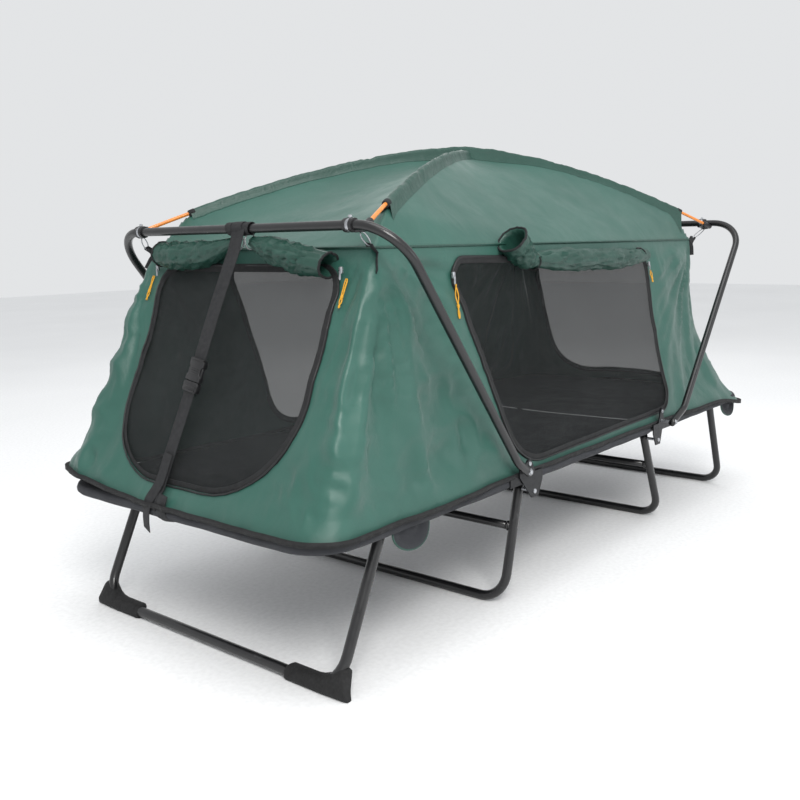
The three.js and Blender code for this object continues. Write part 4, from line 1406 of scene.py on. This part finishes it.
def rubber_shoes(materials):
    """Wedge-shaped rubber feet under the foot-end leg's corners."""
    floor_x, floor_z = ENDS["foot"]["leg_floor"]
    lean = (floor_x - ENDS["foot"]["leg_top"][0]) / (ENDS["foot"]["leg_top"][1] - floor_z)
    bend = LEG_Y - LEG_CORNER_R
    for side, sy in SIDES.items():
        stations = [(0.240, 0.0125, 0.0268), (0.246, 0.0146, 0.0292), (bend, 0.0148, 0.0292),
                    (bend + 0.016, 0.0150, 0.0315), (bend + 0.032, 0.0152, 0.0370),
                    (bend + 0.046, 0.0152, 0.0460), (bend + 0.060, 0.0148, 0.0560),
                    (bend + 0.074, 0.0140, 0.0520), (bend + 0.084, 0.0100, 0.0200),
                    (bend + 0.089, 0.0060, 0.0060)]
        rings = []
        for y, half, height in stations:
            ring = []
            for a in np.linspace(0, 2 * math.pi, 20, endpoint=False):
                c, s = math.cos(a), math.sin(a)
                px = half * np.sign(c) * abs(c) ** 0.6
                pz = height * (0.5 + 0.5 * np.sign(s) * abs(s) ** 0.6)
                shift = lean * max(pz - floor_z, 0)
                ring.append((-(floor_x - shift) + px, sy * y, pz))
            rings.append(ring)
        points = np.array(rings).reshape(-1, 3)
        faces = grid_faces(len(stations), 20, wrap=True)
        faces += [tuple(range(19, -1, -1)), tuple((len(stations) - 1) * 20 + j for j in range(20))]
        shoe = mesh_object(f"rubber_shoe_{side}", points, faces, materials["rubber"])
        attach(shoe, "foot_end_leg")
        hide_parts(f"rubber_foot_{side}")


def corner_clips(materials):
    """The collar, block and wire hook that join pole, bow and tent corner."""
    for end, data in ENDS.items():
        sign = data["sign"]
        bar_x, bar_z = data["bow_top"]
        for side, sy in SIDES.items():
            y = sy * SOCKET_Y
            bar = np.array((sign * bar_x, y, bar_z))
            tip = np.array((sign * POLE["x"], sy * POLE["y"], POLE["z"]))
            collar = lathe([(0, 0.0102), (0.02, 0.0132), (0.3, 0.0138), (0.34, 0.0124), (0.66, 0.0124),
                            (0.7, 0.0138), (0.98, 0.0132), (1, 0.0102)],
                           bar - (0, 0.012, 0), bar + (0, 0.012, 0), 28)
            middle = bar * 0.42 + tip * 0.58 + (0, 0, -0.004)
            arm = placed(block(box_outline(0.026, 0.020, 0.003), 0.020, 0.0022), tip - bar, (0, 1, 0), middle)
            inner = pole_line("a", -1, 0.95, 0.99, 2)
            away = unit(inner[1] - inner[0]) * np.array((-sign, -sy, 1))
            ferrule = lathe([(0, 0.0058), (0.08, 0.0072), (0.75, 0.0072), (0.86, 0.0080), (1, 0.0062)],
                            tip + away * 0.018, tip - away * 0.016, 20)
            body = mesh_object(f"corner_clip_{end}_{side}", *merged(collar, arm, ferrule),
                               materials["plastic"])
            body.data.set_sharp_from_angle(angle=math.radians(45))
            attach(body, f"{end}_bow")
            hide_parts(f"pole_socket_{end}_{side}")
            band_ring = lathe([(0, 0.0125), (0.1, 0.0129), (0.9, 0.0129), (1, 0.0125)], bar - (0, 0.004, 0),
                              bar + (0, 0.004, 0), 28)
            screw = lathe([(0, 0.002), (0.5, 0.002), (0.5, 0.0042), (0.85, 0.0040), (1, 0.0015)],
                          bar + (0, 0, 0.011), bar + (0, 0, 0.0185), 18)
            corner = np.array((sign * (TOP_FOOT if end == "foot" else TOP_HEAD - 0.004), sy * (TOP_Y - (
                0.0 if end == "foot" else 0.020)), SEAM_Z))
            hook_top = middle + np.array((0, 0, -0.010))
            eye = corner + np.array((sign * 0.014, sy * 0.004, 0.004))
            away_line = unit(eye - hook_top)
            side_way = unit(np.cross(away_line, (0, 1, 0.2)))
            span = np.linalg.norm(eye - hook_top)
            t = np.linspace(0, 2 * math.pi, 34, endpoint=False)
            wire = hook_top + away_line * (span * (0.5 - 0.5 * np.cos(t)))[:, None] + side_way * (
                0.0062 * np.sin(t))[:, None]
            loop = sweep(wire, circle(0.0013, 8), closed=True)
            metal = mesh_object(f"clip_metal_{end}_{side}", *merged(band_ring, screw, loop),
                                materials["zinc"])
            metal.data.set_sharp_from_angle(angle=math.radians(45))
            follow(metal, end)
            down_wall = [wall_point(side, [sign * 0.99 * reach_x(w, end)], [w], out=0.002)[0]
                         for w in (0.02, 0.05, 0.09)]
            tab = flowing([eye + np.array((0, 0, -0.003)), eye + np.array((sign * 0.002, 0, 0.002)),
                           *down_wall], 6)
            strap_tab = mesh_object(f"corner_tab_{end}_{side}",
                                    *sweep(tab, band(0.018, 0.0018), carried(tab)), materials["webbing"])
            follow(strap_tab, end)


# ---- the bed's deck ----
WRAP_R = TUBE_R + 0.0022
WRAP_TURN = math.radians(205)  # how far the cloth goes round a rail
DECK_SAG = 0.011  # the folded legs lie close under the cloth


def deck_cloth(name, x0, x1, sag, material, body, replaced, end_sign=0):
    """A cloth bed wrapped round its rails, and clear of them beside the hinges. With an end it also wraps
    the end bar and its two bends."""
    columns, rows = 46, 60
    u = np.linspace(0, 1, columns + 1)
    v = np.linspace(-1, 1, rows + 1)
    uu, vv = np.meshgrid(u, v)
    x = x0 + (x1 - x0) * uu
    from_hinge = np.abs(np.abs(x) - HINGE_X)
    wrapped = smooth(from_hinge, 0.055, 0.075) if end_sign else smooth(from_hinge, 0.035, 0.055)
    y = (RAIL_Y - (TUBE_R + 0.008) * (1 - wrapped)) * vv
    normal = np.zeros(x.shape + (2,))
    normal[0, :, 1], normal[-1, :, 1] = -1, 1
    if end_sign:
        r = RAIL_CORNER_R
        tip = abs(x1)
        over = np.clip((np.abs(x) - (tip - r)) / r, 0, 1)
        side = np.clip((np.abs(y) - (RAIL_Y - r)) / r, 0, 1)
        level = np.maximum(over, side)
        ok = level > 0
        length = np.where(ok, level / np.maximum(np.hypot(over, side), 1e-9), 1)
        x = np.where(ok & (over > 0) & (side > 0), end_sign * (tip - r + over * r * length), x)
        y = np.where(ok & (over > 0) & (side > 0), np.sign(y) * (RAIL_Y - r + side * r * length), y)
        for i, j in itertools.chain(((i, columns) for i in range(rows + 1)),
                                    ((i, j) for i in (0, rows) for j in range(columns + 1))):
            cx = tip - r
            cy = RAIL_Y - r
            dx, dy = max(abs(x[i, j]) - cx, 0), max(abs(y[i, j]) - cy, 0)
            if j == columns and dy == 0:
                normal[i, j] = (end_sign, 0)
            elif dx == 0:
                normal[i, j] = (0, np.sign(y[i, j]))
            else:
                normal[i, j] = np.array((end_sign * dx, np.sign(y[i, j]) * dy)) / math.hypot(dx, dy)
    inward = 1 - (y / RAIL_Y) ** 2
    slack = DECK_SAG + (sag - DECK_SAG) * smooth(np.abs(x), HINGE_X, 0.6)
    if end_sign:
        inward = inward * (1 - smooth(np.abs(x), 0.62, abs(x1)) ** 2)
    base = np.stack([x.ravel(), y.ravel(), np.full(x.size, RAIL_Z + WRAP_R)], axis=1)
    base[:, 2] -= (slack * np.clip(inward, 0, 1) ** 0.8).ravel()
    base[:, 2] += 0.0016 * crease(base * np.array((1, 0.5, 1)), 9, 61) * np.clip(inward, 0, 1).ravel()
    faces = grid_faces(rows + 1, columns + 1)
    number = np.arange(x.size).reshape(x.shape)
    edge = [(i, j) for i, j in [(0, j) for j in range(columns + 1)]]
    if end_sign:
        edge += [(i, columns) for i in range(1, rows + 1)]
        edge += [(rows, j) for j in range(columns - 1, -1, -1)]
        edges = [edge]
    else:
        edges = [edge, [(rows, j) for j in range(columns, -1, -1)]]
    points = [base]
    count = len(base)
    steps = 9
    for line in edges:
        ring = [number[i, j] for i, j in line]
        for k in range(1, steps + 1):
            a = WRAP_TURN * k / steps
            new = []
            for i, j in line:
                nx, ny = normal[i, j]
                full = WRAP_R * wrapped[i, j] + 0.0015 * (1 - wrapped[i, j])
                r = full * (1 + 0.05 * math.sin(37 * x[i, j] + 29 * y[i, j] + 2 * k))
                new.append((x[i, j] + nx * r * math.sin(a), y[i, j] + ny * r * math.sin(a),
                            RAIL_Z + WRAP_R - full + r * math.cos(a)))
            points.append(np.array(new))
            fresh = list(range(count, count + len(new)))
            count += len(new)
            for m in range(len(line) - 1):
                faces.append((ring[m], fresh[m], fresh[m + 1], ring[m + 1]))
            ring = fresh
    cloth = mesh_object(name, np.vstack(points), faces, material)
    bm = bmesh.new()
    bm.from_mesh(cloth.data)
    bmesh.ops.recalc_face_normals(bm, faces=bm.faces)
    bm.to_mesh(cloth.data)
    bm.free()
    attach(cloth, body)
    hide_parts(*replaced)


def under_flap(name, place, direction, body, materials):
    """A rounded flap of deck cloth that hangs below the rail, edged with green piping."""
    place, direction = np.array(place, float), unit(direction)
    a = np.linspace(0, math.pi, 23)
    outline = np.stack([-np.cos(a) * 0.056, -np.sin(a) ** 0.8 * 0.044], axis=1)
    out = unit(np.cross(direction, (0, 0, 1)))
    rim = place + outline[:, :1] * direction + outline[:, 1:] * np.array((0, 0, 1)) + out * (
        outline[:, 1:] ** 2) * 5
    rows = [place + (rim - place) * k + out * 0.003 * math.sin(9 * k) for k in np.linspace(0.02, 1, 8)]
    points = np.array(rows).reshape(-1, 3)
    flap = mesh_object(name, points, grid_faces(8, 23), materials["deck"])
    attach(flap, body)
    # the piping takes the darker green nylon: painted shade
    piping = mesh_object(f"{name}_piping", *sweep(rim, circle(0.0021, 8)), materials["nylon_painted_shade"])
    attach(piping, body)


def bed(materials):
    seam_gap = 0.0015
    deck_cloth("deck_center", -HINGE_X + seam_gap, HINGE_X - seam_gap, DECK_SAG, materials["deck"],
               "center_frame", ("center_deck",))
    for end, data in ENDS.items():
        sign = data["sign"]
        deck_cloth(f"deck_{end}", sign * (HINGE_X + seam_gap), sign * SECTION_END_X, 0.013,
                   materials["deck"], f"{end}_section", (f"{end}_deck",), end_sign=sign)
        for side, sy in SIDES.items():
            x = sign * (0.765 if end == "foot" else 0.905)
            under_flap(f"under_flap_{end}_{side}", (x, sy * 0.402, 0.290), (1, 0, 0), f"{end}_section",
                       materials)


# ---- everything together ----
MATERIALS = make_materials()
make_camera()
make_light()
make_floor()
steelwork(MATERIALS)
brackets(MATERIALS)
rubber_shoes(MATERIALS)
corner_clips(MATERIALS)
bed(MATERIALS)
build_canopy(MATERIALS)
screen("foot", MATERIALS["net_door"], "door_net_foot", ("foot_door_mesh",))
screen("head", MATERIALS["net_door"], "door_net_head", ("head_door_mesh",))
screen("near", MATERIALS["net_window"], "window_net_near", ("window_mesh_near",))
screen("far", MATERIALS["net_window"], "window_net_far", ("window_mesh_far",))
for wall_name in WALLS:
    binding_and_zip(wall_name, MATERIALS)
trims(MATERIALS)
poles_and_sleeves(MATERIALS)
for end_name in ENDS:
    door_rolls(end_name, MATERIALS)
for side_name in SIDES:
    window_rolls(side_name, MATERIALS)
door_pulls(MATERIALS)
strap(MATERIALS)
buckle(MATERIALS)

low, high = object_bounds()
